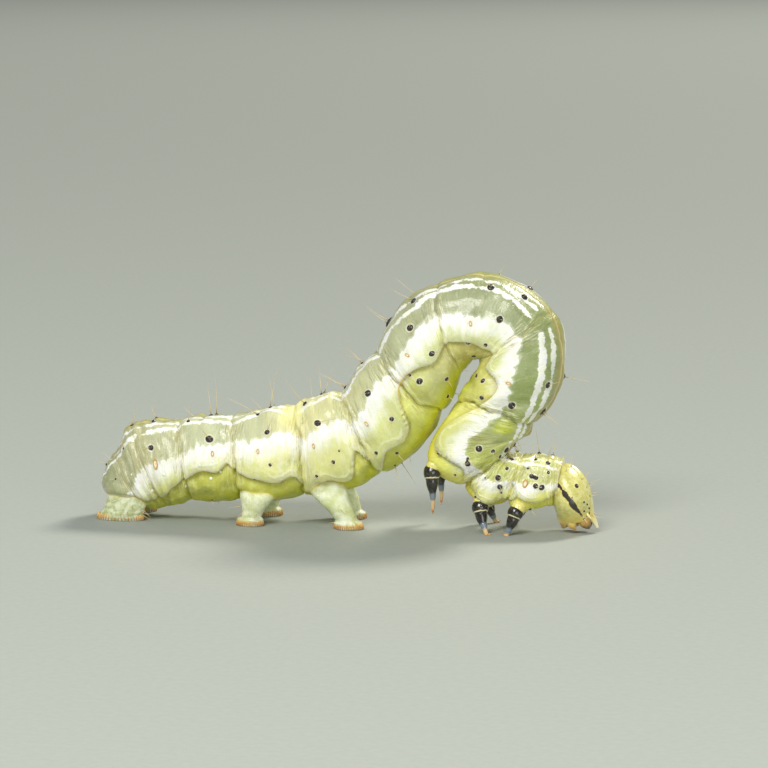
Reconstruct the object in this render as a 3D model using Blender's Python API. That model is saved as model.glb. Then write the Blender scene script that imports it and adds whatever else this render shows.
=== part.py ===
"""Golden twin-spot moth larva, life size, looping along a flat surface with its back arched."""

import math

import bmesh
import bpy
import numpy as np

MM = 0.001
GAP = 0.2 * MM  # clear space between neighbouring solids, small because the body is only 3.5 mm thick
OVERRUN = 0.12  # share of a ring by which its blank runs past each end before it is trimmed

# Body sections from tail to head, each on one plane across the body. A ring runs from one whole place to the next.
# place in rings, x mm, z mm, lean of its upright in degrees, height mm, width mm
SECTIONS = (
    (0.0, -9.10, 0.98, 122, 1.10, 1.50),
    (1.0, -7.93, 1.40, 119, 2.58, 2.42),
    (2.0, -7.24, 1.93, 114, 3.38, 2.85),
    (3.0, -5.96, 2.18, 96, 3.28, 3.05),
    (4.0, -4.05, 2.31, 92, 3.34, 3.15),
    (5.0, -1.75, 2.66, 93, 3.62, 3.25),
    (5.5, -0.64, 2.95, 99, 3.72, 3.30),
    (6.0, 0.47, 3.31, 109, 3.61, 3.25),
    (6.5, 1.45, 4.15, 120, 3.85, 3.30),
    (7.0, 2.32, 5.23, 131, 3.59, 3.25),
    (7.5, 2.99, 6.55, 123, 3.67, 3.30),
    (8.0, 3.90, 7.39, 108, 3.34, 3.20),
    (8.5, 5.14, 7.75, 75, 3.21, 3.15),
    (8.75, 5.76, 7.54, 56, 3.20, 3.15),
    (9.0, 6.27, 7.07, 36, 3.31, 3.15),
    (9.5, 6.32, 5.60, 5, 3.41, 3.15),
    (10.0, 5.60, 4.38, -17, 3.12, 3.05),
    (10.5, 4.94, 3.08, 11, 3.25, 2.85),
    (11.0, 5.23, 2.27, 37, 2.35, 2.55),
    (12.0, 6.30, 1.92, 72, 2.02, 2.35),
    (13.0, 7.84, 1.80, 84, 1.95, 2.15),
)
RINGS = (
    "abdomen_10", "abdomen_9", "abdomen_8", "abdomen_7", "abdomen_6", "abdomen_5", "abdomen_4",
    "abdomen_3", "abdomen_2", "abdomen_1", "thorax_3", "thorax_2", "thorax_1",
)  # fmt: skip
TAIL_ROUND = 0.62  # share of the last ring over which the tail closes to a dome
TAIL_START = 0.012  # place of the first loop of the tail, just inside the dome's tip

# How far the marks and lobes are turned round the body towards the right side: place in rings, degrees.
TWIST = ((0.0, 6), (2.5, 4), (3.5, -6), (4.5, -8), (5.5, -7), (6.5, -4), (7.5, 0), (8.5, 10), (9.5, 14), (11.0, 14),
         (12.0, 10), (13.0, 6))  # fmt: skip
# Lower edge of the side lobes: place in rings, degrees from the middle of the back.
RIM = (
    (0.0, 100), (0.9, 111), (1.4, 128), (1.9, 138), (2.3, 135), (2.8, 118), (3.0, 110), (3.3, 104), (3.5, 101),
    (3.85, 105), (3.97, 98), (4.1, 106), (4.3, 115), (4.5, 119), (4.8, 126), (5.0, 124), (5.08, 128), (5.16, 150),
    (5.35, 139), (5.55, 133), (5.72, 140), (5.88, 135), (5.96, 118), (6.05, 112), (6.13, 140), (6.2, 152),
    (6.28, 139), (6.38, 129), (6.52, 130), (6.68, 133), (6.79, 124), (6.86, 106), (6.95, 92), (7.14, 88), (7.3, 92),
    (7.5, 99), (7.6, 109), (7.69, 117), (7.82, 110), (7.95, 104), (8.1, 103), (8.4, 107), (8.7, 112), (9.0, 108), (9.2, 118),
    (9.45, 95), (9.76, 89), (9.92, 97), (10.1, 112), (10.38, 130), (10.6, 106), (10.78, 96), (10.95, 116),
    (11.3, 122), (11.55, 124), (11.9, 130), (12.05, 124), (12.2, 110), (12.6, 116), (13.1, 108),
)  # fmt: skip

# Relief of the skin, heights in mm and places in degrees, the lobe's crest and groove from its lower edge.
FOLD_DEPTH = 0.17
FOLD_REACH = 0.20
LOBE_HEIGHT, LOBE_ABOVE, LOBE_SPREAD = 0.17, 11, 15
GROOVE_DEPTH, GROOVE_BELOW, GROOVE_SPREAD = 0.14, 9, 8
BELLY_DEPTH, BELLY_SPREAD = 0.07, 26
LOOP_CALM, LOOP_AT, LOOP_REACH = 0.7, 8.8, 1.1  # how much flatter the relief is inside the loop, and where
CREASE_DEPTH, CREASE_REACH = 0.035, 0.035
CREASES = (0.36, 0.68)  # shares of a ring where the fine folds across the back lie

AROUND = 40
RING_STEPS, TAIL_STEPS = 9, 14

# Walking legs of the thorax: ring, share of its length, degrees from the back, then the path from the
# root in mm: how far each joint lies ahead of the root, out to the side, and below it, and its radius.
HIP_HEIGHT, HIP_SPREAD, HIP_REACH = 0.34, 18, 0.27
WALKING_LEGS = {
    "leg_3": (10, 0.64, 152, ((0.0, 0.0, 0.0, 0.31), (0.0, 0.10, 0.48, 0.27), (0.03, 0.15, 0.90, 0.16),
                              (0.05, 0.17, 1.25, 0.10), (0.04, 0.16, 1.55, 0.05))),
    "leg_2": (11, 0.54, 148, ((0.0, 0.0, 0.0, 0.31), (0.08, 0.18, 0.40, 0.25), (0.20, 0.34, 0.72, 0.15),
                              (0.32, 0.44, 0.98, 0.10), (0.40, 0.48, 1.25, 0.06))),
    "leg_1": (12, 0.28, 138, ((0.0, 0.0, 0.0, 0.29), (-0.14, 0.12, 0.38, 0.24), (-0.26, 0.22, 0.70, 0.14),
                              (-0.34, 0.27, 0.96, 0.09), (-0.38, 0.30, 1.25, 0.05))),
}  # fmt: skip
FLOOR_LEGS = ("leg_2", "leg_1")  # these stand on the floor, and the hind pair hangs clear of it
LEG_SUNK = 0.4  # mm that a leg's blank starts inside the skin, before its root is shaped
LEG_AROUND = 12
LEG_STEPS = 12

# Fleshy legs of the abdomen: ring, then levels from the root down to the sole, in mm:
# height above the floor, x, distance from the middle, half length along the body, half width across it.
FLESHY_LEGS = {
    "proleg_6": (4, ((1.60, -2.96, 0.82, 0.86, 0.52), (1.05, -3.06, 0.98, 0.66, 0.46), (0.60, -3.20, 1.06, 0.43, 0.36),
                     (0.34, -3.27, 1.08, 0.38, 0.32), (0.24, -3.30, 1.08, 0.48, 0.38), (0.0, -3.31, 1.08, 0.48, 0.38))),
    "proleg_5": (5, ((1.75, -0.62, 0.84, 0.80, 0.52), (1.20, -0.38, 0.98, 0.68, 0.46), (0.70, 0.02, 1.06, 0.50, 0.38),
                     (0.34, 0.25, 1.08, 0.42, 0.33), (0.23, 0.32, 1.08, 0.51, 0.38), (0.0, 0.36, 1.08, 0.52, 0.38))),
    "clasper": (0, ((1.30, -7.90, 0.50, 0.72, 0.40), (0.85, -7.98, 0.72, 0.80, 0.42), (0.45, -8.08, 0.88, 0.78, 0.38),
                    (0.20, -8.18, 0.92, 0.82, 0.38), (0.0, -8.24, 0.92, 0.90, 0.36))),
}  # fmt: skip
LEFT_STEP = {"proleg_6": 0.25, "proleg_5": -0.30, "clasper": 0.0}  # mm that the left sole stands ahead of the right
SOLE_AROUND = 20

# Head capsule: crown in mm, tilt of its long axis below level, size, and the share where it is widest.
CROWN = (8.11, 2.52)
HEAD_TILT = 78
HEAD_LENGTH, HEAD_DEPTH, HEAD_WIDTH = 2.10, 1.42, 2.22
HEAD_WIDEST, CROWN_BLUNT = 0.64, 2.1  # the second is the power of the oval, 2 for a plain one
CROWN_BACK = 0.12  # mm that the crown lies behind the head's long axis
MOUTH_DEPTH, MOUTH_WIDTH = 1.26, 1.20
CROWN_CLEFT, CLEFT_SPREAD = 0.10, 0.16
HEAD_AROUND = 28
HEAD_STEPS = 14
# Mouthparts, sizes in mm in the head's own directions: down its length, to the front, and to the side.
JAW_ROOT = (HEAD_LENGTH + 0.2, 0.16, 0.30)
JAW_SIZE = (0.17, 0.42, 0.40)
CHIN_ROOT = (HEAD_LENGTH + 0.2, -0.36)
CHIN_SIZE = (0.12, 0.28, 0.62)

# Colours: the translucent skin is olive at the tail, pale green in the middle and yellower at the thorax.
TAIL_GREEN, PALE_GREEN, THORAX_YELLOW = (0.50, 0.52, 0.30), (0.66, 0.71, 0.42), (0.70, 0.70, 0.28)
SKIN_ROUGHNESS, HORN_ROUGHNESS = 0.4, 0.25
LEG_BLACK, HEAD_YELLOW, JAW_BROWN = (0.030, 0.028, 0.022), (0.68, 0.62, 0.22), (0.32, 0.14, 0.04)


def clear_scene():
    for old in list(bpy.data.objects):
        bpy.data.objects.remove(old)


def material(name, colour, roughness):
    made = bpy.data.materials.new(name)
    made.use_nodes = True
    surface = made.node_tree.nodes["Principled BSDF"]
    surface.inputs["Base Color"].default_value = (*colour, 1)
    surface.inputs["Roughness"].default_value = roughness
    surface.inputs["Metallic"].default_value = 0
    return made


def skin_colour(ring):
    """Mix of the three skin colours by the ring's place, from the tail's olive to the thorax's yellow."""
    share = ring / (len(RINGS) - 1)
    ends = (TAIL_GREEN, PALE_GREEN) if share < 0.5 else (PALE_GREEN, THORAX_YELLOW)
    mix = 2 * share if share < 0.5 else 2 * share - 1
    return tuple((1 - mix) * a + mix * b for a, b in zip(*ends))


def bell(x, middle, spread):
    return np.exp(-(((x - middle) / spread) ** 2))


def smooth_through(places, knots, values):
    """Smooth curve through the rows of values: a cubic on each span, whose slope at a knot is the
    mean of the slopes on its two sides, weighted by the lengths of the spans."""
    span = np.diff(knots)
    slope = np.diff(values, axis=0) / span[:, None]
    middle = (slope[:-1] * span[1:, None] + slope[1:] * span[:-1, None]) / (span[1:] + span[:-1])[:, None]
    tangent = np.vstack([slope[:1], middle, slope[-1:]])
    i = np.clip(np.searchsorted(knots, places, side="right") - 1, 0, len(knots) - 2)
    t = ((places - knots[i]) / span[i])[:, None]
    h = span[i][:, None]
    return (
        (1 + 2 * t) * (1 - t) ** 2 * values[i]
        + t * (1 - t) ** 2 * h * tangent[i]
        + t**2 * (3 - 2 * t) * values[i + 1]
        + t**2 * (t - 1) * h * tangent[i + 1]
    )


def sections(places):
    """Middle, upright direction, half height and half width of the body at each place, in mm."""
    table = np.array(SECTIONS, float)
    x, z, lean, height, width = smooth_through(places, table[:, 0], table[:, 1:]).T
    lean = np.radians(lean)
    middle = np.stack([x, np.zeros_like(x), z], 1)
    upright = np.stack([np.cos(lean), np.zeros_like(x), np.sin(lean)], 1)
    close = np.clip(places / TAIL_ROUND, 0.02, 1)
    dome = np.sqrt(1 - (1 - close) ** 2)
    return middle, upright, height / 2 * dome, width / 2 * dome


def ring_length(ring):
    middle = sections(np.linspace(ring, ring + 1, 9))[0]
    return float(np.linalg.norm(np.diff(middle, axis=0), axis=1).sum())


def along(table, places):
    """A table of place and value, read as a smooth curve at an array of places."""
    rows = np.array(table, float)
    return smooth_through(places.ravel(), rows[:, 0], rows[:, 1:])[:, 0].reshape(places.shape)


def relief(places, degrees):
    """Height of the skin's lobes above the plain oval, in mm, for grids of places and degrees."""
    ring = np.clip(np.floor(places), 0, len(RINGS) - 1)
    share = places - ring
    length = np.array([ring_length(k) for k in range(len(RINGS))])[ring.astype(int)]
    from_edge = np.minimum(share, 1 - share) * length
    swell = np.sqrt(np.clip(np.sin(np.pi * np.clip(share, 0, 1)), 0, 1))
    side = np.abs((degrees - along(TWIST, places) + 180) % 360 - 180)
    rim = along(RIM, places)
    flank = 0.35 + 0.65 * bell(side, 110, 45)
    height = -FOLD_DEPTH * np.exp(-((from_edge / FOLD_REACH) ** 2)) * flank
    height += LOBE_HEIGHT * bell(side, rim - LOBE_ABOVE, LOBE_SPREAD) * swell
    height -= GROOVE_DEPTH * bell(side, rim + GROOVE_BELOW, GROOVE_SPREAD) * swell
    height -= BELLY_DEPTH * bell(side, 180, BELLY_SPREAD)
    height *= 1 - LOOP_CALM * bell(places, LOOP_AT, LOOP_REACH) * bell(side, 180, 80)
    for crease in CREASES:
        height -= CREASE_DEPTH * bell((share - crease) * length, 0, CREASE_REACH * 3) * bell(side, 0, 100)
    for hip_ring, hip_share, hip_degrees, _ in WALKING_LEGS.values():
        bump = bell(places, hip_ring + hip_share, HIP_REACH) * bell(np.abs(degrees), hip_degrees, HIP_SPREAD)
        height += HIP_HEIGHT * bump
    return height


def body_grid(places, degrees, grow=0.0):
    """Points of the skin in metres, one row for each place: the section's oval, whose outward
    direction carries the relief and, for a cutter, the extra growth."""
    middle, upright, half_height, half_width = sections(places)
    turn = np.radians(degrees)[None, :, None]
    to_side = np.array([0.0, -1.0, 0.0])
    up, side = np.cos(turn) * upright[:, None, :], np.sin(turn) * to_side
    tall, wide = half_height[:, None, None], half_width[:, None, None]
    outward = up * wide + side * tall
    outward /= np.linalg.norm(outward, axis=2, keepdims=True)
    grid_places, grid_degrees = np.meshgrid(places, degrees, indexing="ij")
    fade = np.clip(half_height / half_height.max() * 2.5, 0, 1)[:, None]
    lift = relief(grid_places, grid_degrees) * fade + grow / MM
    points = middle[:, None, :] + up * tall + side * wide + outward * lift[:, :, None]
    return points * MM


def tube(name, rows, colour, roughness):
    """Closed tube through rows of points, each row a loop, with a fan over each end."""
    steps, around, _ = rows.shape
    points = np.vstack([rows.reshape(-1, 3), rows[0].mean(0), rows[-1].mean(0)])
    first, last = steps * around, steps * around + 1
    faces = []
    for i in range(steps - 1):
        for j in range(around):
            k = (j + 1) % around
            faces.append((i * around + j, i * around + k, (i + 1) * around + k, (i + 1) * around + j))
    for j in range(around):
        k = (j + 1) % around
        faces.append((first, k, j))
        faces.append((last, (steps - 1) * around + j, (steps - 1) * around + k))
    mesh = bpy.data.meshes.new(name)
    mesh.from_pydata(points.tolist(), [], faces)
    shaped = bmesh.new()
    shaped.from_mesh(mesh)
    bmesh.ops.recalc_face_normals(shaped, faces=shaped.faces)
    if shaped.calc_volume(signed=True) < 0:
        bmesh.ops.reverse_faces(shaped, faces=shaped.faces)
    shaped.to_mesh(mesh)
    shaped.free()
    mesh.materials.append(material(name, colour, roughness))
    obj = bpy.data.objects.new(name, mesh)
    bpy.context.scene.collection.objects.link(obj)
    return obj


def shade(obj):
    obj.data.shade_smooth()
    obj.data.set_sharp_from_angle(angle=math.radians(50))


def trim(obj, point, away):
    """Cuts off what lies beyond a plane and closes the cut with a flat face."""
    shaped = bmesh.new()
    shaped.from_mesh(obj.data)
    everything = shaped.verts[:] + shaped.edges[:] + shaped.faces[:]
    cut = bmesh.ops.bisect_plane(
        shaped, geom=everything, dist=1e-9, plane_co=point, plane_no=away, clear_outer=True
    )
    rim = [item for item in cut["geom_cut"] if isinstance(item, bmesh.types.BMEdge)]
    bmesh.ops.holes_fill(shaped, edges=rim, sides=0)
    bmesh.ops.triangulate(shaped, faces=[face for face in shaped.faces if len(face.verts) > 4])
    bmesh.ops.recalc_face_normals(shaped, faces=shaped.faces)
    shaped.to_mesh(obj.data)
    shaped.free()


def ring_plane(place):
    """A point on the section's plane in metres, and the plane's direction towards the head."""
    middle, upright, _, _ = sections(np.array([float(place)]))
    up = upright[0]
    return middle[0] * MM, np.array([up[2], 0.0, -up[0]])


def add_ring(ring):
    """One body ring: a blank that runs past both of its edges, trimmed half a gap inside them."""
    start = ring - OVERRUN if ring else TAIL_START
    places = np.linspace(start, ring + 1 + OVERRUN, RING_STEPS if ring else TAIL_STEPS)
    degrees = np.linspace(0, 360, AROUND, endpoint=False)
    degrees = np.where(degrees > 180, degrees - 360, degrees)
    obj = tube(RINGS[ring], body_grid(places, degrees), skin_colour(ring), SKIN_ROUGHNESS)
    point, ahead = ring_plane(ring + 1)
    trim(obj, point - ahead * GAP / 2, ahead)
    if ring:
        point, ahead = ring_plane(ring)
        trim(obj, point + ahead * GAP / 2, -ahead)
    shade(obj)
    return obj


def sided(name, side):
    return f"{name}_{'right' if side > 0 else 'left'}"


def body_cutter(ring):
    """The skin near one ring, grown by the gap, which shapes the roots of the legs on that ring."""
    places = np.linspace(max(ring - 0.45, 0.02), min(ring + 1.45, len(RINGS) + 0.1), 18)
    degrees = np.linspace(0, 360, AROUND, endpoint=False)
    degrees = np.where(degrees > 180, degrees - 360, degrees)
    grown = body_grid(places, degrees, grow=GAP)
    obj = tube(f"cutter_{RINGS[ring]}", grown, skin_colour(ring), SKIN_ROUGHNESS)
    obj.hide_render = True
    obj.display_type = "WIRE"
    return obj


def largest_piece(obj):
    """Keeps the largest closed surface of a mesh and drops the others."""
    shaped = bmesh.new()
    shaped.from_mesh(obj.data)
    left = set(shaped.verts)
    pieces = []
    while left:
        piece, edge = set(), {next(iter(left))}
        while edge:
            piece |= edge
            edge = {e.other_vert(v) for v in edge for e in v.link_edges} - piece
        pieces.append(piece)
        left -= piece
    keep = max(pieces, key=len)
    bmesh.ops.delete(shaped, geom=[v for v in shaped.verts if v not in keep], context="VERTS")
    shaped.to_mesh(obj.data)
    shaped.free()


def cut_root(obj, cutter):
    """Shapes a leg's root to the skin that it grows from, and drops what comes out on the far side."""
    cut = obj.modifiers.new("root", "BOOLEAN")
    cut.operation = "DIFFERENCE"
    cut.solver = "EXACT"
    cut.object = cutter
    bpy.context.view_layer.update()
    shaped = bpy.data.meshes.new_from_object(obj.evaluated_get(bpy.context.evaluated_depsgraph_get()))
    obj.modifiers.clear()
    obj.data = shaped
    largest_piece(obj)


def leg_root(ring, share, degrees):
    """The point of the skin where a walking leg grows, in mm, on the right side, and the way out of the skin."""
    place, turn = np.array([ring + share]), np.array([float(degrees)])
    root = body_grid(place, turn)[0, 0] / MM
    beyond = body_grid(place, turn, grow=MM)[0, 0] / MM
    return root, beyond - root


def add_walking_leg(name, side, cutter):
    """Tapered leg along a bent path, with a narrow waist at each joint and a round tip."""
    ring, share, degrees, path = WALKING_LEGS[name]
    root, outward = leg_root(ring, share, degrees)
    joints = np.array([(root[0] + a, root[1] - out, root[2] - down, r) for a, out, down, r in path])
    inside = np.append(root - outward * LEG_SUNK, path[0][3])
    joints = np.vstack([inside, joints])
    if name in FLOOR_LEGS:
        joints[-1][2] = 0.0
    knots = np.arange(len(joints), dtype=float)
    places = np.linspace(0, knots[-1], LEG_STEPS)
    line = smooth_through(places, knots, joints)
    waist = 1 - 0.10 * np.exp(-(((places - np.round(places)) / 0.16) ** 2)) * (places > 1.4)
    radius = line[:, 3] * waist
    forward = np.array([1.0, 0.0, 0.0])
    angles = np.linspace(0, 2 * np.pi, LEG_AROUND, endpoint=False)
    rows = []
    for i, (x, y, z, _) in enumerate(line):
        ahead = line[min(i + 1, len(line) - 1), :3] - line[max(i - 1, 0), :3]
        ahead /= np.linalg.norm(ahead)
        if name in FLOOR_LEGS and i == len(line) - 1:
            ahead = np.array([0.0, 0.0, -1.0])
        across = np.cross(ahead, forward)
        across /= np.linalg.norm(across)
        along = np.cross(across, ahead)
        loop = np.cos(angles)[:, None] * along + np.sin(angles)[:, None] * across
        rows.append(np.array([x, y, z]) + loop * radius[i])
    rows = np.array(rows)
    rows[:, :, 2] = np.maximum(rows[:, :, 2], 0)
    rows[:, :, 1] *= side
    obj = tube(sided(name, side), rows * MM, LEG_BLACK, HORN_ROUGHNESS)
    shade(obj)
    cut_root(obj, cutter)
    return obj


def add_fleshy_leg(name, side, cutter):
    """Soft leg as level ovals from its root down to a flat sole."""
    ring, levels = FLESHY_LEGS[name]
    step = LEFT_STEP[name] if side < 0 else 0.0
    top = levels[0][0]
    angles = np.linspace(0, 2 * np.pi, SOLE_AROUND, endpoint=False)
    rows = [
        np.stack(
            [
                x + step * (1 - z / top) + along * np.cos(angles),
                -side * (out + across * np.sin(angles)),
                np.full_like(angles, z),
            ],
            1,
        )
        for z, x, out, along, across in levels
    ]
    obj = tube(sided(name, side), np.array(rows) * MM, skin_colour(ring), SKIN_ROUGHNESS)
    shade(obj)
    cut_root(obj, cutter)
    return obj


def head_frame():
    """Crown of the head, and its directions down its length and to the front, in the row's frame."""
    tilt = math.radians(HEAD_TILT)
    down = np.array([math.cos(tilt), 0.0, -math.sin(tilt)])
    front = np.array([math.sin(tilt), 0.0, math.cos(tilt)])
    return np.array([CROWN[0], 0.0, CROWN[1]]), down, front


def add_head():
    """Capsule whose depth and width follow a quarter oval from the crown to the widest place and
    then narrow to the mouth, with a shallow cleft between its two halves."""
    crown, down, front = head_frame()
    share = 1 - np.cos(np.linspace(0.14, np.pi / 2, HEAD_STEPS))
    swell = (1 - np.clip(1 - share / HEAD_WIDEST, 0, 1) ** CROWN_BLUNT) ** (1 / CROWN_BLUNT)
    narrow = np.clip((share - HEAD_WIDEST) / (1 - HEAD_WIDEST), 0, 1) ** 1.5
    depth = HEAD_DEPTH / 2 * swell - (HEAD_DEPTH - MOUTH_DEPTH) / 2 * narrow
    width = HEAD_WIDTH / 2 * swell - (HEAD_WIDTH - MOUTH_WIDTH) / 2 * narrow
    angles = np.linspace(0, 2 * np.pi, HEAD_AROUND, endpoint=False)
    rows = []
    for s, d, w in zip(share, depth, width):
        y = w * np.sin(angles)
        cleft = CROWN_CLEFT * np.exp(-((y / CLEFT_SPREAD) ** 2)) * (1 - s) ** 2
        reach = d * np.cos(angles) * (1 - cleft / max(d, 0.3)) - CROWN_BACK * (1 - s) ** 3
        drop = s * HEAD_LENGTH + cleft
        rows.append(crown + drop[:, None] * down + reach[:, None] * front + y[:, None] * np.array([0, 1.0, 0]))
    obj = tube("head", np.array(rows) * MM, HEAD_YELLOW, HORN_ROUGHNESS)
    point, ahead = ring_plane(len(RINGS))
    trim(obj, point + ahead * GAP / 2, -ahead)
    shade(obj)
    return obj


def add_wedge(name, root, size, side, colour):
    """Small mouthpart: a rounded block that narrows away from the head."""
    crown, down, front = head_frame()
    across = np.array([0.0, 1.0, 0.0])
    angles = np.linspace(0, 2 * np.pi, 10, endpoint=False)
    rows = []
    for share, scale in ((0.0, 1.0), (0.55, 0.86), (1.0, 0.45)):
        centre = crown + (root[0] + size[0] * share) * down + root[1] * front - side * across
        loop = np.cos(angles)[:, None] * front * size[1] / 2 + np.sin(angles)[:, None] * across * size[2] / 2
        rows.append(centre + loop * scale)
    obj = tube(name, np.array(rows) * MM, colour, HORN_ROUGHNESS)
    shade(obj)
    return obj


def main():
    clear_scene()
    for ring in range(len(RINGS)):
        add_ring(ring)
    cutters = {ring: body_cutter(ring) for ring in (0, 4, 5, 10, 11, 12)}
    for side in (1, -1):
        for name, (ring, *_) in WALKING_LEGS.items():
            add_walking_leg(name, side, cutters[ring])
        for name, (ring, _) in FLESHY_LEGS.items():
            add_fleshy_leg(name, side, cutters[ring])
        add_wedge(sided("jaw", side), JAW_ROOT, JAW_SIZE, side * JAW_ROOT[2], JAW_BROWN)
    add_head()
    add_wedge("chin", CHIN_ROOT, CHIN_SIZE, 0, HEAD_YELLOW)
    larva = bpy.data.objects.new("larva", None)
    bpy.context.scene.collection.objects.link(larva)
    for obj in bpy.context.scene.objects:
        if obj.type == "MESH":
            obj.parent = larva


main()
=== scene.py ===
"""Looks of the golden twin-spot moth larva: one skin over the body and its fleshy legs, black spots and
hairs on it, the horny head, jaws, claws and walking legs, and a floor, lights and a camera."""

import math

import bmesh
import bpy
import numpy as np
from mathutils import Matrix, Vector


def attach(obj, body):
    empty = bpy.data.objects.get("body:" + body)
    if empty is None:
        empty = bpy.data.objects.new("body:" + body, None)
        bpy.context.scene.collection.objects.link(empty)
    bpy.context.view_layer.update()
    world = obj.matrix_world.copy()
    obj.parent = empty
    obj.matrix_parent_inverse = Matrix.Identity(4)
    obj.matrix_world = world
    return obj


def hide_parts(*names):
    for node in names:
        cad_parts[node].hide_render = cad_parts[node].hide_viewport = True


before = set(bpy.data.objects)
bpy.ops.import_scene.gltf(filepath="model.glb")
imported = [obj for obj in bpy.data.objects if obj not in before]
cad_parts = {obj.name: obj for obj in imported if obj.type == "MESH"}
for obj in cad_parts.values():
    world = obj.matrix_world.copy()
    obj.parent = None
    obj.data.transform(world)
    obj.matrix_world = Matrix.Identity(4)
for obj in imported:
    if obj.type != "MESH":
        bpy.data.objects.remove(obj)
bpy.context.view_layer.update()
NODES = sorted(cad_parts)
MM = 0.001
RANDOM = np.random.default_rng(7)

# Body sections from tail to head, as in the solids. A ring runs from one whole place to the next.
# place in rings, x mm, z mm, lean of its upright in degrees, height mm, width mm
SECTIONS = (
    (0.0, -9.10, 0.98, 122, 1.10, 1.50),
    (1.0, -7.93, 1.40, 119, 2.58, 2.42),
    (2.0, -7.24, 1.93, 114, 3.38, 2.85),
    (3.0, -5.96, 2.18, 96, 3.28, 3.05),
    (4.0, -4.05, 2.31, 92, 3.34, 3.15),
    (5.0, -1.75, 2.66, 93, 3.62, 3.25),
    (5.5, -0.64, 2.95, 99, 3.72, 3.30),
    (6.0, 0.47, 3.31, 109, 3.61, 3.25),
    (6.5, 1.45, 4.15, 120, 3.85, 3.30),
    (7.0, 2.32, 5.23, 131, 3.59, 3.25),
    (7.5, 2.99, 6.55, 123, 3.67, 3.30),
    (8.0, 3.90, 7.39, 108, 3.34, 3.20),
    (8.5, 5.14, 7.75, 75, 3.21, 3.15),
    (8.75, 5.76, 7.54, 56, 3.20, 3.15),
    (9.0, 6.27, 7.07, 36, 3.31, 3.15),
    (9.5, 6.32, 5.60, 5, 3.41, 3.15),
    (10.0, 5.60, 4.38, -17, 3.12, 3.05),
    (10.5, 4.94, 3.08, 11, 3.25, 2.85),
    (11.0, 5.23, 2.27, 37, 2.35, 2.55),
    (12.0, 6.30, 1.92, 72, 2.02, 2.35),
    (13.0, 7.84, 1.80, 84, 1.95, 2.15),
)
RINGS = 13
TAIL_ROUND = 0.62
TAIL_START, NECK_END = 0.012, 13.06
MM_PER_DEGREE = math.radians(1.62)  # length on the skin of a degree round the body
FAR = 9.0  # stands for a distance that no finish reads
SIDES = ((1, "right"), (-1, "left"))

# How far the marks are turned round the body towards the right side: place in rings, degrees.
TWIST = ((0.0, 6), (2.5, 4), (3.5, -6), (4.5, -8), (5.5, -7), (6.5, -4), (7.5, 0), (8.5, 10), (9.5, 14),
         (11.0, 14), (12.0, 10), (13.0, 6))
# Lower edge of the side lobes: place in rings, degrees from the middle of the back. The solids have it a
# little plainer at the tail and on ring 7.
RIM = (
    (0.0, 100), (0.76, 104), (1.16, 113), (1.6, 121), (1.9, 125), (2.3, 123), (2.7, 118), (3.0, 116),
    (3.3, 108), (3.5, 102), (3.85, 105), (3.97, 98), (4.1, 106), (4.3, 115), (4.5, 119), (4.8, 126), (5.0, 124),
    (5.08, 128), (5.16, 150),
    (5.35, 139), (5.55, 133), (5.72, 140), (5.88, 135), (5.96, 118), (6.05, 112), (6.13, 140), (6.2, 152),
    (6.28, 139), (6.38, 129), (6.52, 130), (6.68, 133), (6.79, 124), (6.86, 106), (6.95, 92), (7.14, 88),
    (7.3, 94), (7.5, 104), (7.6, 108), (7.72, 108), (7.85, 103), (7.97, 100), (8.1, 102), (8.4, 107),
    (8.7, 112), (9.0, 108), (9.2, 118), (9.45, 95), (9.76, 89), (9.92, 97), (10.1, 112), (10.38, 130),
    (10.6, 106), (10.78, 96), (10.95, 116),
    (11.3, 122), (11.55, 124), (11.9, 130), (12.05, 124), (12.2, 110), (12.6, 116), (13.1, 108),
)
# Upper edge of the white band, and lower edge of the two white lines, in the same way as the lobes' edge.
BAND_TOP = (
    (0.0, 104), (0.7, 100), (1.3, 91), (1.8, 83), (2.3, 80), (2.9, 80), (3.2, 79), (3.4, 73), (3.7, 73),
    (4.0, 69), (4.3, 72), (4.6, 72), (4.95, 67), (5.15, 78),
    (5.5, 75), (5.9, 66), (6.12, 77), (6.5, 72), (6.85, 64), (7.05, 70), (7.36, 72), (7.7, 67), (8.0, 64), (8.24, 71),
    (8.5, 75), (8.75, 69), (9.0, 66), (9.2, 72), (9.5, 77), (9.9, 67), (10.15, 74), (10.35, 84), (10.7, 80),
    (11.0, 74), (11.5, 80), (12.0, 76), (12.5, 80), (13.1, 74),
)
LINES_END = (
    (0.0, 34), (1.0, 36), (2.0, 38), (2.8, 37), (3.2, 35), (3.7, 36), (4.0, 41), (4.3, 37), (4.6, 27), (4.95, 40),
    (5.1, 44), (5.4, 37), (5.8, 30), (6.1, 40), (6.4, 35), (6.84, 28), (7.1, 36), (7.35, 38), (7.6, 43), (7.85, 38),
    (8.05, 31), (8.35, 34), (8.65, 37), (8.95, 41), (9.15, 42), (9.4, 44), (9.65, 42), (9.9, 34), (10.4, 27),
    (11.0, 28), (12.0, 33), (12.8, 42), (13.1, 42),
)
# How far the joints between rings lie nearer the head on the flank, and more so on the belly, in rings.
BOW = ((0.0, 0.0), (2.0, 0.05), (3.0, 0.10), (4.0, 0.10), (5.0, 0.16), (6.0, 0.13), (7.0, 0.02), (8.0, -0.06),
       (9.0, 0.0), (10.0, -0.06), (11.0, 0.0), (12.0, 0.04), (13.1, 0.0))
BELLY_BOW = ((0.0, 0.0), (4.0, 0.03), (5.0, -0.06), (6.0, 0.0), (7.0, 0.15), (8.0, 0.0), (9.0, -0.16), (10.0, 0.08),
             (11.0, 0.0), (13.1, 0.0))
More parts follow.
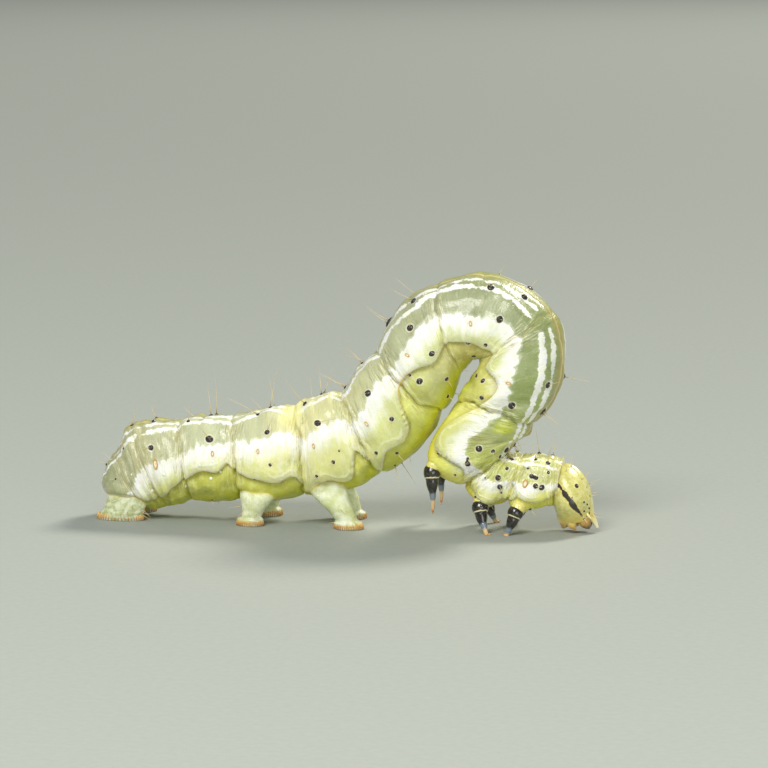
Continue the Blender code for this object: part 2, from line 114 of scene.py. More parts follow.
# Depth of each joint's fold, and how far the ring on its head side stands over the other, in mm.
JOINTS = ((0.4, 0.0), (0.25, 0.0), (0.40, 0.02), (0.9, 0.05), (1.0, 0.06), (1.2, 0.08), (1.3, 0.10), (1.1, 0.09),
          (0.5, 0.06), (0.4, 0.0), (1.0, -0.10), (1.2, -0.04), (1.0, 0.02), (1.0, 0.0))
# Soft pads low on the sides: place, degrees from the back, half length in rings, half width in degrees, mm.
PADS = ((5.93, 140, 0.05, 26, 0.06), (6.22, 128, 0.12, 18, 0.05), (6.93, 136, 0.06, 30, 0.08),
        (7.32, 116, 0.17, 20, 0.08), (8.50, 128, 0.20, 14, 0.04), (9.50, 120, 0.22, 20, 0.06),
        (10.35, 122, 0.15, 25, 0.05), (1.72, 0, 0.28, 34, 0.12), (2.75, 0, 0.45, 30, -0.07),
        (0.18, 104, 0.22, 16, 0.12), (7.45, 172, 0.28, 24, 0.16), (9.50, 172, 0.32, 24, 0.13))
# Notches across the back of each ring: share of its length, depth and half width in mm.
BACK_NOTCHES = ((0.42, 0.055, 0.07), (0.20, 0.028, 0.05), (0.66, 0.030, 0.06), (0.84, 0.022, 0.05))
# Black spots of the right side: ring, then share of its length, degrees from the back, radius in mm.
SPOTS = {
    0: ((0.55, 28, 0.05), (0.70, 74, 0.05), (0.85, 112, 0.05)),
    1: ((0.96, 6, 0.06), (0.50, 44, 0.05),),
    2: ((0.50, 16, 0.09), (0.42, 63, 0.105),),
    3: ((0.58, 5, 0.08), (0.20, 24, 0.07), (0.66, 56, 0.14), (0.6, 150, 0.04)),
    4: ((0.58, 5, 0.07), (0.42, 20, 0.085), (0.62, 54, 0.10), (0.70, 95, 0.06), (0.44, 109, 0.05), (0.85, 117, 0.05)),
    5: ((0.54, 5, 0.07), (0.24, 23, 0.10), (0.52, 59, 0.12), (0.68, 106, 0.07), (0.40, 117, 0.06), (0.80, 96, 0.04)),
    6: ((0.62, 7, 0.07), (0.10, 10, 0.09), (0.56, 61, 0.125), (0.68, 102, 0.085), (0.28, 118, 0.07), (0.48, 137, 0.06),
        (0.36, 155, 0.05)),
    7: ((0.72, 28, 0.11), (0.30, 10, 0.14), (0.56, 59, 0.125), (0.68, 101, 0.10), (0.28, 106, 0.11), (0.64, 138, 0.08),
        (0.42, 158, 0.07), (0.22, 92, 0.05)),
    8: ((0.78, 29, 0.12), (0.50, 40, 0.13), (0.72, 78, 0.12), (0.36, 117, 0.10), (0.76, 115, 0.07), (0.56, 146, 0.09)),
    9: ((0.82, 14, 0.11), (0.56, 40, 0.11), (0.80, 75, 0.13), (0.44, 129, 0.09), (0.80, 116, 0.08), (0.34, 148, 0.07)),
    10: ((0.82, 33, 0.11), (0.62, 62, 0.075), (0.48, 83, 0.115), (0.70, 99, 0.10), (0.62, 97, 0.06), (0.48, 133, 0.06),
         (0.92, 46, 0.07), (0.80, 131, 0.05)),
    11: ((0.62, 32, 0.08), (0.66, 58, 0.065), (0.54, 82, 0.105), (0.18, 93, 0.035), (0.74, 104, 0.095),
         (0.83, 118, 0.045), (0.34, 143, 0.06), (0.71, 146, 0.05)),
    12: ((0.42, 26, 0.07), (0.74, 33, 0.085), (0.80, 58, 0.06), (0.44, 70, 0.09), (0.55, 73, 0.085), (0.58, 90, 0.09),
         (0.72, 93, 0.10), (0.38, 130, 0.06), (0.54, 143, 0.06), (0.30, 52, 0.045)),
}
# Pale beads low on the sides near the tail, in the same way: place in rings, degrees from the back, mm.
PALE_SPOTS = ((0.90, 106, 0.06), (1.40, 84, 0.04), (1.96, 119, 0.06), (1.98, 89, 0.055), (2.64, 99, 0.065),
              (3.10, 126, 0.05), (3.52, 89, 0.06), (3.68, 108, 0.06), (3.86, 100, 0.05), (4.24, 84, 0.05),
              (4.10, 132, 0.045), (6.60, 128, 0.04))
# Breathing holes: ring, share of its length, degrees from the back, half height and half width in mm.
BREATHING_HOLES = ((2, 0.46, 85, 0.21, 0.085), (3, 0.74, 76, 0.11, 0.055), (4, 0.50, 78, 0.10, 0.05),
                   (5, 0.42, 84, 0.10, 0.05), (6, 0.34, 86, 0.11, 0.055), (7, 0.36, 79, 0.11, 0.055),
                   (8, 0.38, 92, 0.11, 0.055), (9, 0.50, 93, 0.11, 0.055), (12, 0.34, 88, 0.16, 0.095))

# Walking legs, as in the solids: ring, share, degrees, then ahead, out and below of the root, and radius, in
# mm, and the bulge of the skin round the root.
HIP_HEIGHT, HIP_SPREAD, HIP_REACH = 0.34, 18, 0.27
WALKING_LEGS = {
    "leg_3": (10, 0.64, 152, ((0.0, 0.0, 0.0, 0.31), (0.0, 0.10, 0.48, 0.27), (0.03, 0.15, 0.90, 0.16),
                              (0.05, 0.17, 1.25, 0.10), (0.04, 0.16, 1.55, 0.05))),
    "leg_2": (11, 0.54, 148, ((0.0, 0.0, 0.0, 0.31), (0.08, 0.18, 0.40, 0.25), (0.20, 0.34, 0.72, 0.15),
                              (0.32, 0.44, 0.98, 0.10), (0.40, 0.48, 1.25, 0.06))),
    "leg_1": (12, 0.28, 138, ((0.0, 0.0, 0.0, 0.29), (-0.14, 0.12, 0.38, 0.24), (-0.26, 0.22, 0.70, 0.14),
                              (-0.34, 0.27, 0.96, 0.09), (-0.38, 0.30, 1.25, 0.05))),
}
FLOOR_LEGS = ("leg_2", "leg_1")

# Fleshy legs, as in the solids, in mm: height above the floor, x, distance from the middle, half length and
# half width.
FLESHY_LEGS = {
    "proleg_6": ((1.60, -2.96, 0.82, 0.86, 0.52), (1.05, -3.06, 0.98, 0.66, 0.46), (0.60, -3.20, 1.06, 0.43, 0.36),
                 (0.34, -3.27, 1.08, 0.38, 0.32), (0.24, -3.30, 1.08, 0.48, 0.38), (0.0, -3.31, 1.08, 0.48, 0.38)),
    "proleg_5": ((1.75, -0.62, 0.84, 0.80, 0.52), (1.20, -0.38, 0.98, 0.68, 0.46), (0.70, 0.02, 1.06, 0.50, 0.38),
                 (0.34, 0.25, 1.08, 0.42, 0.33), (0.23, 0.32, 1.08, 0.51, 0.38), (0.0, 0.36, 1.08, 0.52, 0.38)),
    "clasper": ((1.30, -7.90, 0.50, 0.72, 0.40), (0.85, -7.98, 0.72, 0.80, 0.42), (0.45, -8.08, 0.88, 0.78, 0.38),
                (0.20, -8.18, 0.92, 0.82, 0.38), (0.0, -8.24, 0.92, 0.90, 0.36)),
}
LEFT_STEP = {"proleg_6": 0.25, "proleg_5": -0.30, "clasper": 0.0}

# Head capsule, as in the solids.
CROWN = (8.11, 2.52)
HEAD_TILT = 78
HEAD_LENGTH, HEAD_DEPTH, HEAD_WIDTH = 2.10, 1.42, 2.22
HEAD_WIDEST, CROWN_BLUNT, CROWN_BACK = 0.64, 2.1, 0.12
MOUTH_DEPTH, MOUTH_WIDTH = 1.26, 1.20
# Marks of the head: share of its length, degrees from its front, and the spots' radius in mm.
HEAD_STRIPE = ((0.22, 136), (0.33, 108), (0.45, 97), (0.57, 85), (0.72, 76), (0.88, 64))
HEAD_SPOTS = ((0.37, 54, 0.085), (0.54, 77, 0.035), (0.62, 16, 0.05), (0.91, 62, 0.035), (0.97, 58, 0.045),
              (0.06, 16, 0.045), (0.07, 126, 0.03), (0.10, 70, 0.03), (0.45, 20, 0.03), (0.30, 24, 0.035),
              (0.97, 20, 0.03))
EYES = ((0.67, 46), (0.73, 36), (0.81, 31), (0.90, 32), (0.93, 45), (0.83, 52))


# Numbers along the body


def unit(vectors):
    return vectors / np.linalg.norm(vectors, axis=-1, keepdims=True)


def bell(x, middle, spread):
    return np.exp(-(((x - middle) / spread) ** 2))


def ease(x, low, high):
    """0 below low, 1 above high, and a cubic between them that is level at both ends."""
    t = np.clip((x - low) / (high - low), 0, 1)
    return t * t * (3 - 2 * t)


def smooth_through(places, knots, values):
    """Smooth curve through the rows of values: a cubic on each span, whose slope at a knot is the
    mean of the slopes on its two sides, weighted by the lengths of the spans."""
    span = np.diff(knots)
    slope = np.diff(values, axis=0) / span[:, None]
    middle = (slope[:-1] * span[1:, None] + slope[1:] * span[:-1, None]) / (span[1:] + span[:-1])[:, None]
    tangent = np.vstack([slope[:1], middle, slope[-1:]])
    i = np.clip(np.searchsorted(knots, places, side="right") - 1, 0, len(knots) - 2)
    t = ((places - knots[i]) / span[i])[:, None]
    h = span[i][:, None]
    return (
        (1 + 2 * t) * (1 - t) ** 2 * values[i]
        + t * (1 - t) ** 2 * h * tangent[i]
        + t**2 * (3 - 2 * t) * values[i + 1]
        + t**2 * (t - 1) * h * tangent[i + 1]
    )


def along(table, places):
    """A two-column table of place and value, read as a smooth curve at an array of places."""
    rows = np.array(table, float)
    return smooth_through(places.ravel(), rows[:, 0], rows[:, 1:])[:, 0].reshape(places.shape)


def sections(places):
    """Middle, upright direction, half height and half width of the body at each place, in mm."""
    table = np.array(SECTIONS, float)
    x, z, lean, height, width = smooth_through(places, table[:, 0], table[:, 1:]).T
    lean = np.radians(lean)
    middle = np.stack([x, np.zeros_like(x), z], 1)
    upright = np.stack([np.cos(lean), np.zeros_like(x), np.sin(lean)], 1)
    close = np.clip(places / TAIL_ROUND, 0.02, 1)
    dome = np.sqrt(1 - (1 - close) ** 2)
    return middle, upright, height / 2 * dome, width / 2 * dome


def ring_lengths():
    """Length of each ring along the middle of the body, in mm."""
    middle = sections(np.linspace(0, RINGS, RINGS * 8 + 1))[0]
    steps = np.linalg.norm(np.diff(middle, axis=0), axis=1)
    return steps.reshape(RINGS, 8).sum(1)


RING_LENGTH = ring_lengths()


def side_of(places, degrees):
    """Degrees from the line of the back to a point of the skin, the same on both sides."""
    return np.abs((degrees - along(TWIST, places) + 180) % 360 - 180)


def ring_share(places):
    """Index of the ring at each place, the share of its length, and the distance in mm to its nearer end."""
    ring = np.clip(np.floor(places), 0, RINGS - 1).astype(int)
    share = places - ring
    return ring, share, np.minimum(share, 1 - share) * RING_LENGTH[ring]


def joint_bow(places, side):
    """How much nearer the head a joint lies than on the back, in rings."""
    return along(BOW, places) * ease(side, 20, 80) + along(BELLY_BOW, places) * ease(side, 105, 165)


def ring_swell(share):
    """0 at both ends of a ring and 1 at its middle: the root of half a sine wave."""
    return np.sqrt(np.clip(np.sin(np.pi * np.clip(share, 0, 1)), 0, 1))


def fold_share(places, side):
    """The same as ring_share for the bent joints, with the nearer joint's depth and its step, whose sign
    says on which side of the joint the place lies."""
    bent = places - joint_bow(places, side)
    joint = np.round(bent)
    bent = bent - 0.018 * np.sin(side * 0.11 + joint * 2.3) - 0.008 * np.sin(side * 0.29 + joint)
    ring, share, from_edge = ring_share(bent)
    deep, step = np.array(JOINTS)[np.clip(np.round(bent), 0, RINGS).astype(int)].T
    return ring, share, from_edge, deep.T, np.where(share < 0.5, 1, -1) * step.T


def below_rim(places, side):
    """Distance in mm up from the lower edge of the side lobes, negative under it."""
    return (along(RIM, places) - side) * MM_PER_DEGREE


# Relief of the skin


def relief(places, degrees):
    """Height of the skin over the plain oval, in mm: a deep fold between rings with a fainter one beside it,
    notches across the back, the side lobe with a lip, a roll under it, pads over the folds and hips."""
    side = side_of(places, degrees)
    ring, share, from_edge, deep, step = fold_share(places, side)
    length = RING_LENGTH[ring]
    from_rim = below_rim(places, side)
    swell = ring_swell(share)
    flank = (0.45 + 0.55 * bell(side, 105, 50)) * deep
    wander = from_edge + 0.03 * np.sin(side * 0.13 + ring * 2.0) + 0.015 * np.sin(side * 0.31 + ring)
    height = -0.15 * bell(from_edge, 0, 0.07) * flank - 0.15 * bell(from_edge, 0, 0.40) * flank
    height += step * np.exp(-from_edge / 0.25) * (0.3 + 0.7 * bell(side, 95, 60))
    fine = deep * ease(places, 1.2, 2.8)
    height -= 0.055 * bell(wander, 0.28, 0.05) * bell(side, 88, 38) * fine
    height -= 0.035 * bell(wander, 0.47, 0.04) * bell(side, 75, 34) * fine
    height += 0.018 * np.sin(wander * 44 + ring) * bell(wander, 0.20, 0.22) * bell(side, 92, 45) * fine
    for place, turn, long, wide, high in PADS:
        height += high * bell(places, place, long) * bell(side, turn, wide)
    for notch, depth, reach in BACK_NOTCHES:
        from_notch = (share - notch) * length + 0.04 * np.sin(side * 0.09 + ring)
        height -= depth * bell(from_notch, 0, reach) * bell(side, 0, 70)
    lip = np.where(from_rim > 0, (1 - np.exp(-from_rim / 0.05)) * np.exp(-((from_rim / 0.70) ** 2)), 0)
    under = np.where(from_rim < 0, np.exp(from_rim / 0.13), np.exp(-from_rim / 0.02))
    height += (0.21 * lip - 0.08 * under) * (0.30 + 0.70 * swell)
    height -= 0.05 * bell(side, 60, 14) * swell
    height += 0.09 * bell(from_rim, -0.62, 0.34) * swell
    height -= 0.07 * bell(side, 180, 20)
    height -= 0.030 * bell(side, 0, 5)
    height *= 1 - 0.7 * bell(places, 8.8, 1.1) * bell(side, 180, 80)
    for hip_ring, hip_share, turn, _ in WALKING_LEGS.values():
        hip = bell(places, hip_ring + hip_share, HIP_REACH) * bell(np.abs(degrees), turn, HIP_SPREAD)
        height += HIP_HEIGHT * hip
    return height + 0.018 * lumps(places, degrees)


def lumps(places, degrees):
    """Slow unevenness of soft skin: a sum of crossed waves whose lengths share no common measure."""
    turn = np.radians(degrees)
    total = np.sin(places * 9.7 + 2.1 * np.sin(turn * 3 + 1.0))
    total += np.sin(places * 17.3 + 1.7 * np.sin(turn * 5 - 0.6) + 2.0)
    return total + 0.8 * np.sin(turn * 11 + 3.1 * np.sin(places * 3.3))


def both_sides(found):
    """Place, degrees and radius of every spot of the right side, then those of the left, which are a little
    uneven."""
    right = np.array(found)
    left = right.copy()
    left[:, 1] = 2 * along(TWIST, left[:, 0]) - left[:, 1]
    left[:, 0] += RANDOM.normal(0, 0.02, len(left))
    left[:, 1] += RANDOM.normal(0, 1.5, len(left))
    left[:, 2] *= RANDOM.uniform(0.85, 1.15, len(left))
    return np.vstack([right, left])


def oval(places, degrees):
    """Points of the plain oval in mm and the way out of it, for two arrays of one shape."""
    middle, upright, half_height, half_width = (part.reshape(places.shape + part.shape[1:])
                                                for part in sections(places.ravel()))
    turn = np.radians(degrees)[..., None]
    tall, wide = half_height[..., None], half_width[..., None]
    up, side = np.cos(turn) * upright, np.sin(turn) * np.array([0.0, -1.0, 0.0])
    return middle + up * tall + side * wide, unit(up * wide + side * tall), half_height


HALF_HEIGHT_MOST = sections(np.linspace(0, RINGS, 60))[2].max()


def skin_points(places, degrees):
    """Points of the skin in mm: the oval moved out by the relief, and the lobe's edge rolled down over its
    groove."""
    points, outward, half_height = oval(places, degrees)
    fade = np.clip(half_height / HALF_HEIGHT_MOST * 2.5, 0, 1)
    down = oval(places, degrees + np.where(degrees < 0, -1.0, 1.0))[0] - points
    down /= np.maximum(np.linalg.norm(down, axis=-1, keepdims=True), 1e-9)
    side = side_of(places, degrees)
    roll = 0.09 * bell(below_rim(places, side), 0.06, 0.07) * ring_swell(ring_share(places)[1])
    return points + outward * (relief(places, degrees) * fade)[..., None] + down * (roll * fade)[..., None]


def skin_frame(place, degrees):
    """A point of the skin in mm with the way out of it, the way to the head and the way round."""
    places = np.array([place, place + 0.02, place])
    turns = np.array([degrees, degrees, degrees + 1.0])
    here, ahead, beside = skin_points(places, turns)
    to_head = unit(ahead - here)
    out = unit(np.cross(to_head, beside - here))
    out *= np.sign(out @ oval(places[:1], turns[:1])[1][0])
    return here, out, to_head, np.cross(out, to_head)


# Meshes


def strip_faces(rows, columns, first=0):
    """Quads between the rows of a grid whose last column joins its first."""
    i = np.arange(rows - 1)[:, None] * columns
    j = np.arange(columns)[None, :]
    k = (j + 1) % columns
    return np.stack([i + j, i + k, i + columns + k, i + columns + j], -1).reshape(-1, 4) + first


def closed_tube(rows, first=0):
    """Points and faces of a tube through rows of points, with a fan over each end."""
    steps, around, _ = rows.shape
    points = np.vstack([rows.reshape(-1, 3), rows[0].mean(0), rows[-1].mean(0)])
    j = np.arange(around)
    k = (j + 1) % around
    start = np.stack([np.full(around, steps * around), k, j], 1) + first
    last = (steps - 1) * around
    end = np.stack([np.full(around, steps * around + 1), last + j, last + k], 1) + first
    return points, strip_faces(steps, around, first).tolist() + start.tolist() + end.tolist()


def make_piece(name, points, faces, finish):
    """An object at the origin whose mesh has these points in mm and faces, all faces turned outwards."""
    mesh = bpy.data.meshes.new(name)
    mesh.from_pydata((points * MM).tolist(), [], faces)
    shaped = bmesh.new()
    shaped.from_mesh(mesh)
    bmesh.ops.recalc_face_normals(shaped, faces=shaped.faces)
    shaped.to_mesh(mesh)
    shaped.free()
    mesh.shade_smooth()
    mesh.materials.append(finish)
    obj = bpy.data.objects.new(name, mesh)
    bpy.context.scene.collection.objects.link(obj)
    return obj


def join_tubes(tubes):
    """Points and faces of many closed tubes as one mesh."""
    points, faces, first = [], [], 0
    for rows in tubes:
        some, more = closed_tube(rows, first)
        points.append(some)
        faces += more
        first += len(some)
    return np.vstack(points), faces


def set_attribute(mesh, name, values):
    mesh.attributes.new(name, "FLOAT", "POINT").data.foreach_set("value", np.asarray(values, np.float32))


def show(piece, slot, *nodes):
    """Hangs a finished piece on the body and hides the solids it stands for."""
    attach(piece, "root")
    if nodes:
        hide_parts(*nodes)
    return piece


def add_tubes(name, tubes, finish, slot, **fields):
    """One piece made of many closed tubes, with the fields that its finish reads."""
    obj = make_piece(name, *join_tubes(tubes), finish)
    for field, values in fields.items():
        set_attribute(obj.data, field, values)
    return show(obj, slot)


def tube_field(shares, around, count=1, ends=(0.0, 1.0)):
    """A value for each point of a closed tube, from one for each of its rows, for so many tubes alike."""
    return np.tile(np.append(np.repeat(shares, around), ends), count)


def tube_along(line, radius, columns, flat=1.0):
    """Rows of points round a line in mm: each row is a circle across the line, its frame carried
    along so that it doesn't turn, and flat stretches it along one direction of that frame."""
    ahead = unit(np.gradient(line, axis=0))
    guess = np.array([0.0, 1.0, 0.0]) if abs(ahead[0][1]) < 0.8 else np.array([1.0, 0.0, 0.0])
    across = unit(np.cross(ahead, guess))
    beside = np.cross(ahead, across)
    angles = np.linspace(0, 2 * np.pi, columns, endpoint=False)
    loop = np.cos(angles)[None, :, None] * across[:, None, :]
    loop = loop + flat * np.sin(angles)[None, :, None] * beside[:, None, :]
    return line[:, None, :] + loop * np.asarray(radius)[:, None, None]


# Shader maths


class Socket:
    """One output of a material's nodes. Operators between sockets and numbers add Math nodes."""

    def __init__(self, finish, link):
        self.finish = finish
        self.link = link

    def math(self, operation, *others):
        values = dict(enumerate((self, *others)))
        return self.finish.node("ShaderNodeMath", values, operation=operation)

    def __add__(self, other):
        return self.math("ADD", other)

    def __sub__(self, other):
        return self.math("SUBTRACT", other)

    def __rsub__(self, other):
        return self * -1.0 + other

    def __mul__(self, other):
        return self.math("MULTIPLY", other)

    def __truediv__(self, other):
        return self.math("DIVIDE", other)

    __radd__ = __add__
    __rmul__ = __mul__

    def most(self, other):
        return self.math("MAXIMUM", other)

    def ease(self, low, high):
        """0 at low, 1 at high, smooth between; low may be above high."""
        values = {"Value": self, "From Min": low, "From Max": high}
        return self.finish.node("ShaderNodeMapRange", values, interpolation_type="SMOOTHSTEP")


class Finish:
    """A material and short ways to add its nodes."""

    def __init__(self, name, **constants):
        self.material = bpy.data.materials.new(name)
        self.material.use_nodes = True
        self.tree = self.material.node_tree
        self.surface = self.tree.nodes["Principled BSDF"]
        for socket, value in constants.items():
            self.put(self.surface.inputs[socket.replace("_", " ")], value)

    def put(self, socket, value):
        if isinstance(value, Socket):
            self.tree.links.new(value.link, socket)
        elif isinstance(value, tuple) and len(value) == 3 and socket.type == "RGBA":
            socket.default_value = (*value, 1.0)
        else:
            socket.default_value = value

    def node(self, kind, values=(), output=0, stops=(), **settings):
        """Adds a node: its settings first, then a ramp's stops, then the values or links of its sockets."""
        made = self.tree.nodes.new(kind)
        for setting, value in settings.items():
            setattr(made, setting, value)
        for i, (place, *colour) in enumerate(stops):
            ramp = made.color_ramp.elements
            stop = ramp[i] if i < 2 else ramp.new(place)
            stop.position = place
            stop.color = (*colour, 1.0)
        for socket, value in dict(values).items():
            self.put(made.inputs[socket], value)
        return Socket(self, made.outputs[output])

    def attribute(self, name):
        return self.node("ShaderNodeAttribute", output="Fac", attribute_name=name)

    def millimetres(self):
        """The object's own coordinates, in millimetres."""
        place = self.node("ShaderNodeTexCoord", output="Object")
        return self.node("ShaderNodeVectorMath", {0: place, "Scale": 1 / MM}, operation="SCALE")

    def noise(self, place, scale, detail=3.0, roughness=0.5, distortion=0.0):
        values = {"Vector": place, "Scale": scale, "Detail": detail, "Roughness": roughness}
        return self.node("ShaderNodeTexNoise", {**values, "Distortion": distortion})

    def cells(self, place, scale):
        return self.node("ShaderNodeTexVoronoi", {"Vector": place, "Scale": scale}, output="Distance")

    def stretched(self, x, y, z=0.0, detail=2.0, roughness=0.5, distortion=0.0):
        """Noise over three values along and round the body, which draws it out along one of them."""
        place = self.node("ShaderNodeCombineXYZ", {"X": x, "Y": y, "Z": z})
        return self.noise(place, 1.0, detail, roughness, distortion)

    def ramp(self, value, stops):
        """Colour that goes through stops, each a value with its red, green and blue."""
        return self.node("ShaderNodeValToRGB", {"Fac": value}, stops=stops)

    def mix(self, share, low, high):
        """Colour that is low at share 0 and high at share 1."""
        values = {"Factor": share, 6: low, 7: high}
        return self.node("ShaderNodeMix", values, output=2, data_type="RGBA")

    def layered(self, colour, *coats):
        """A colour under coats: each is a share, and the colour that shows where the share is 1."""
        for share, coat in coats:
            colour = self.mix(share, colour, coat)
        return colour

    def paint(self, colour, roughness=None, height=None, distance=0.0):
        """Sets the surface's colour, its roughness, and its bump, from a height of 0 to 1 that stands for
        the distance in mm. Gives the material."""
        self.put(self.surface.inputs["Base Color"], colour)
        if roughness is not None:
            self.put(self.surface.inputs["Roughness"], roughness)
        if height is not None:
            bump = self.node("ShaderNodeBump", {"Height": height, "Distance": distance * MM})
            self.put(self.surface.inputs["Normal"], bump)
        return self.material


# Finishes


SKIN_FIELDS = ("ring_place", "side", "rim", "fold", "leg", "spot", "line_a", "line_b", "band")


def skin_finish():
    """Translucent skin: grey-green flank with fine lines across it, two ragged white lines beside the back,
    a white band along the side, yellow-green lobes whose edges carry a painted golden rim glow, with a painted
    highlight above it and painted shade under it, and a pale ring round each black spot."""
    f = Finish("larva_skin", Subsurface_Weight=0.6, Subsurface_Scale=0.28 * MM, Subsurface_Radius=(1.0, 0.9, 0.35),
               Specular_IOR_Level=0.5, Coat_Roughness=0.08, Sheen_Weight=0.12, Sheen_Roughness=0.3,
               Sheen_Tint=(1.0, 0.93, 0.62))
    place = f.millimetres()
    ring, side, rim, fold, leg, spot, line_a, line_b, band = (f.attribute(name) for name in SKIN_FIELDS)
    rough = f.noise(place, 2.6, 4.0, 0.6)
    lump = f.noise(place, 5.5, 2.0, 0.5)
    fine = f.noise(place, 11.0, 3.0, 0.6)
    clouds = f.noise(place, 0.9, 3.0, 0.5)
    strands = f.stretched(ring * 20.0, side * 0.03, rough * 0.8, 3.0, 0.6)
    fibres = f.stretched(ring * 9.0, side * 0.012, 0.0, 4.0, 0.55, 0.4)
    strokes = f.stretched(ring * 64.0 + side * 0.02, side * 0.05, rough * 3.0)
    pleats = f.stretched(ring * 52.0 + side * 0.03, side * 0.02, 0.0, 1.0)
    crease = f.stretched(ring * 60.0, side * 0.045, rough * 2.0)
    knobs = f.stretched(ring * 15.0, side * 0.10, 0.0, 1.0, 0.4)
    across = f.stretched(ring * 46.0, side * 0.05)
    place_share = ring / RINGS
    body_part = ring.ease(0.8, 2.6)

    # Flank, with strokes near the folds and an olive patch, then the stripe of the back with a painted golden rim glow
    # down its middle
    flank = f.ramp(place_share, (
        (0.04, 0.38, 0.40, 0.21), (0.16, 0.48, 0.48, 0.27), (0.27, 0.56, 0.59, 0.37), (0.345, 0.60, 0.62, 0.38),
        (0.385, 0.76, 0.73, 0.38), (0.43, 0.68, 0.67, 0.34), (0.51, 0.58, 0.59, 0.34), (0.58, 0.44, 0.46, 0.27),
        (0.63, 0.34, 0.37, 0.20), (0.68, 0.28, 0.33, 0.14), (0.75, 0.33, 0.40, 0.13), (0.83, 0.56, 0.60, 0.15),
        (0.97, 0.64, 0.66, 0.26),
    ))
    patch = ring.ease(9.98, 10.06) * ring.ease(10.26, 10.16) * side.ease(68, 58) * side.ease(30, 40)
    stroked = fold.ease(0.75, 0.20) * side.ease(34, 50) * strokes.ease(0.57, 0.64) * clouds.ease(0.38, 0.52)
    flank = f.layered(
        flank,
        (clouds.ease(0.42, 0.68) * 0.28, (0.66, 0.69, 0.48)),
        (strands.ease(0.54, 0.70) * body_part * (0.22 + ring.ease(5.6, 6.6) * 0.22), (0.20, 0.22, 0.08)),
        (strands.ease(0.42, 0.30) * body_part * 0.30, (0.76, 0.78, 0.56)),
        (lump.ease(0.56, 0.70) * ring.ease(2.6, 1.2) * 0.5, (0.62, 0.66, 0.46)),
        (fine.ease(0.60, 0.75) * 0.30, (0.86, 0.88, 0.70)),
        (patch * 0.9, (0.52, 0.58, 0.06)),
        (stroked * 0.75, (0.22, 0.22, 0.06)),
    )
    loop_back = ring.ease(8.8, 9.3) * ring.ease(11.0, 10.7) * side.ease(13, 5) * 0.8
    wedge = ring.ease(10.80, 10.86) * ring.ease(11.02, 10.96) * side.ease(46, 52) * side.ease(76, 70)
    back = f.layered(
        flank,
        (side.ease(20, 6) * 0.8, (0.36, 0.36, 0.10)),
        (loop_back * (0.4 + rough * 0.6), (0.46, 0.34, 0.06)),
        # painted rim glow: a thin golden line along the middle of the back stands in for the glow at the back's
        # outline
        (side.ease(3.0, 1.2) * 0.55, (0.82, 0.70, 0.30)),
        (wedge * 0.85, (0.40, 0.44, 0.04)),
    )

    # White lines
    white = f.mix(rough.ease(0.35, 0.65), (0.90, 0.92, 0.80), (0.97, 0.98, 0.94))
    ragged = (rough - 0.5) * 0.34 + (strands - 0.5) * 0.18 + (fine - 0.5) * 0.12
    between = (line_b.most(line_a) + 0.10 + ragged * 2.0).ease(0.0, 0.2) * 0.35
    colour = f.layered(
        back,
        (between, (0.70, 0.74, 0.54)),
        ((line_a + ragged).ease(-0.015, 0.02) * 0.9, white),
        ((line_b + ragged).ease(-0.015, 0.02), white),
    )

    # Side lobes, and the skin below them
    inset = rim + (clouds - 0.5) * 0.9 + (rough - 0.5) * 0.16
    ridge = inset.ease(0.26, 0.31) * inset.ease(0.40, 0.34) * body_part * clouds.ease(0.44, 0.56)
    lobe = f.layered(
        f.ramp(place_share, (
            (0.04, 0.42, 0.43, 0.12), (0.19, 0.56, 0.56, 0.15), (0.27, 0.76, 0.77, 0.36), (0.35, 0.84, 0.83, 0.42),
            (0.42, 0.78, 0.77, 0.33), (0.50, 0.72, 0.74, 0.33), (0.58, 0.62, 0.65, 0.34), (0.66, 0.72, 0.74, 0.38),
            (0.74, 0.72, 0.74, 0.32), (0.83, 0.70, 0.69, 0.20), (0.97, 0.82, 0.80, 0.30),
        )),
        (fibres.ease(0.45, 0.7) * (0.12 + body_part * 0.38), (0.92, 0.92, 0.74)),
        (clouds.ease(0.5, 0.35) * 0.4, (0.66, 0.69, 0.24)),
        (rim.ease(0.9, 0.45) * rim.ease(0.1, 0.3) * lump.ease(0.36, 0.60) * 0.6, (0.66, 0.71, 0.26)),
        (ridge * 0.45, (0.95, 0.94, 0.72)),
    )
    # painted shade: the ramp's first stop, at the tail, is darker olive for the shade under the tail's lobe flap
    under = f.ramp(place_share, (
        (0.04, 0.36, 0.38, 0.07), (0.22, 0.50, 0.52, 0.07), (0.33, 0.66, 0.66, 0.12), (0.44, 0.72, 0.72, 0.14),
        (0.49, 0.74, 0.76, 0.18), (0.53, 0.66, 0.68, 0.16), (0.57, 0.64, 0.66, 0.30), (0.64, 0.56, 0.49, 0.15),
        (0.71, 0.64, 0.62, 0.20), (0.80, 0.76, 0.77, 0.20), (0.97, 0.84, 0.82, 0.14),
    ))
    belly = f.mix(rough.ease(0.4, 0.7) * 0.6, (0.52, 0.55, 0.01), (0.72, 0.70, 0.04))
    below = f.layered(
        under,
        (lump.ease(0.45, 0.7) * 0.45, (0.84, 0.85, 0.38)),
        (clouds.ease(0.5, 0.35) * 0.4, (0.52, 0.54, 0.12)),
        (side.ease(126, 160), belly),
        (ring.ease(9.9, 10.6) * side.ease(112, 150) * 0.9, (0.80, 0.70, 0.07)),
    )
    lower = f.layered(
        lobe,
        (rim.ease(0.03, -0.12), below),
        (ring.ease(1.7, 0.6) * rim.ease(-0.1, 0.1) * lump.ease(0.35, 0.55) * 0.8, (0.55, 0.58, 0.08)),
    )
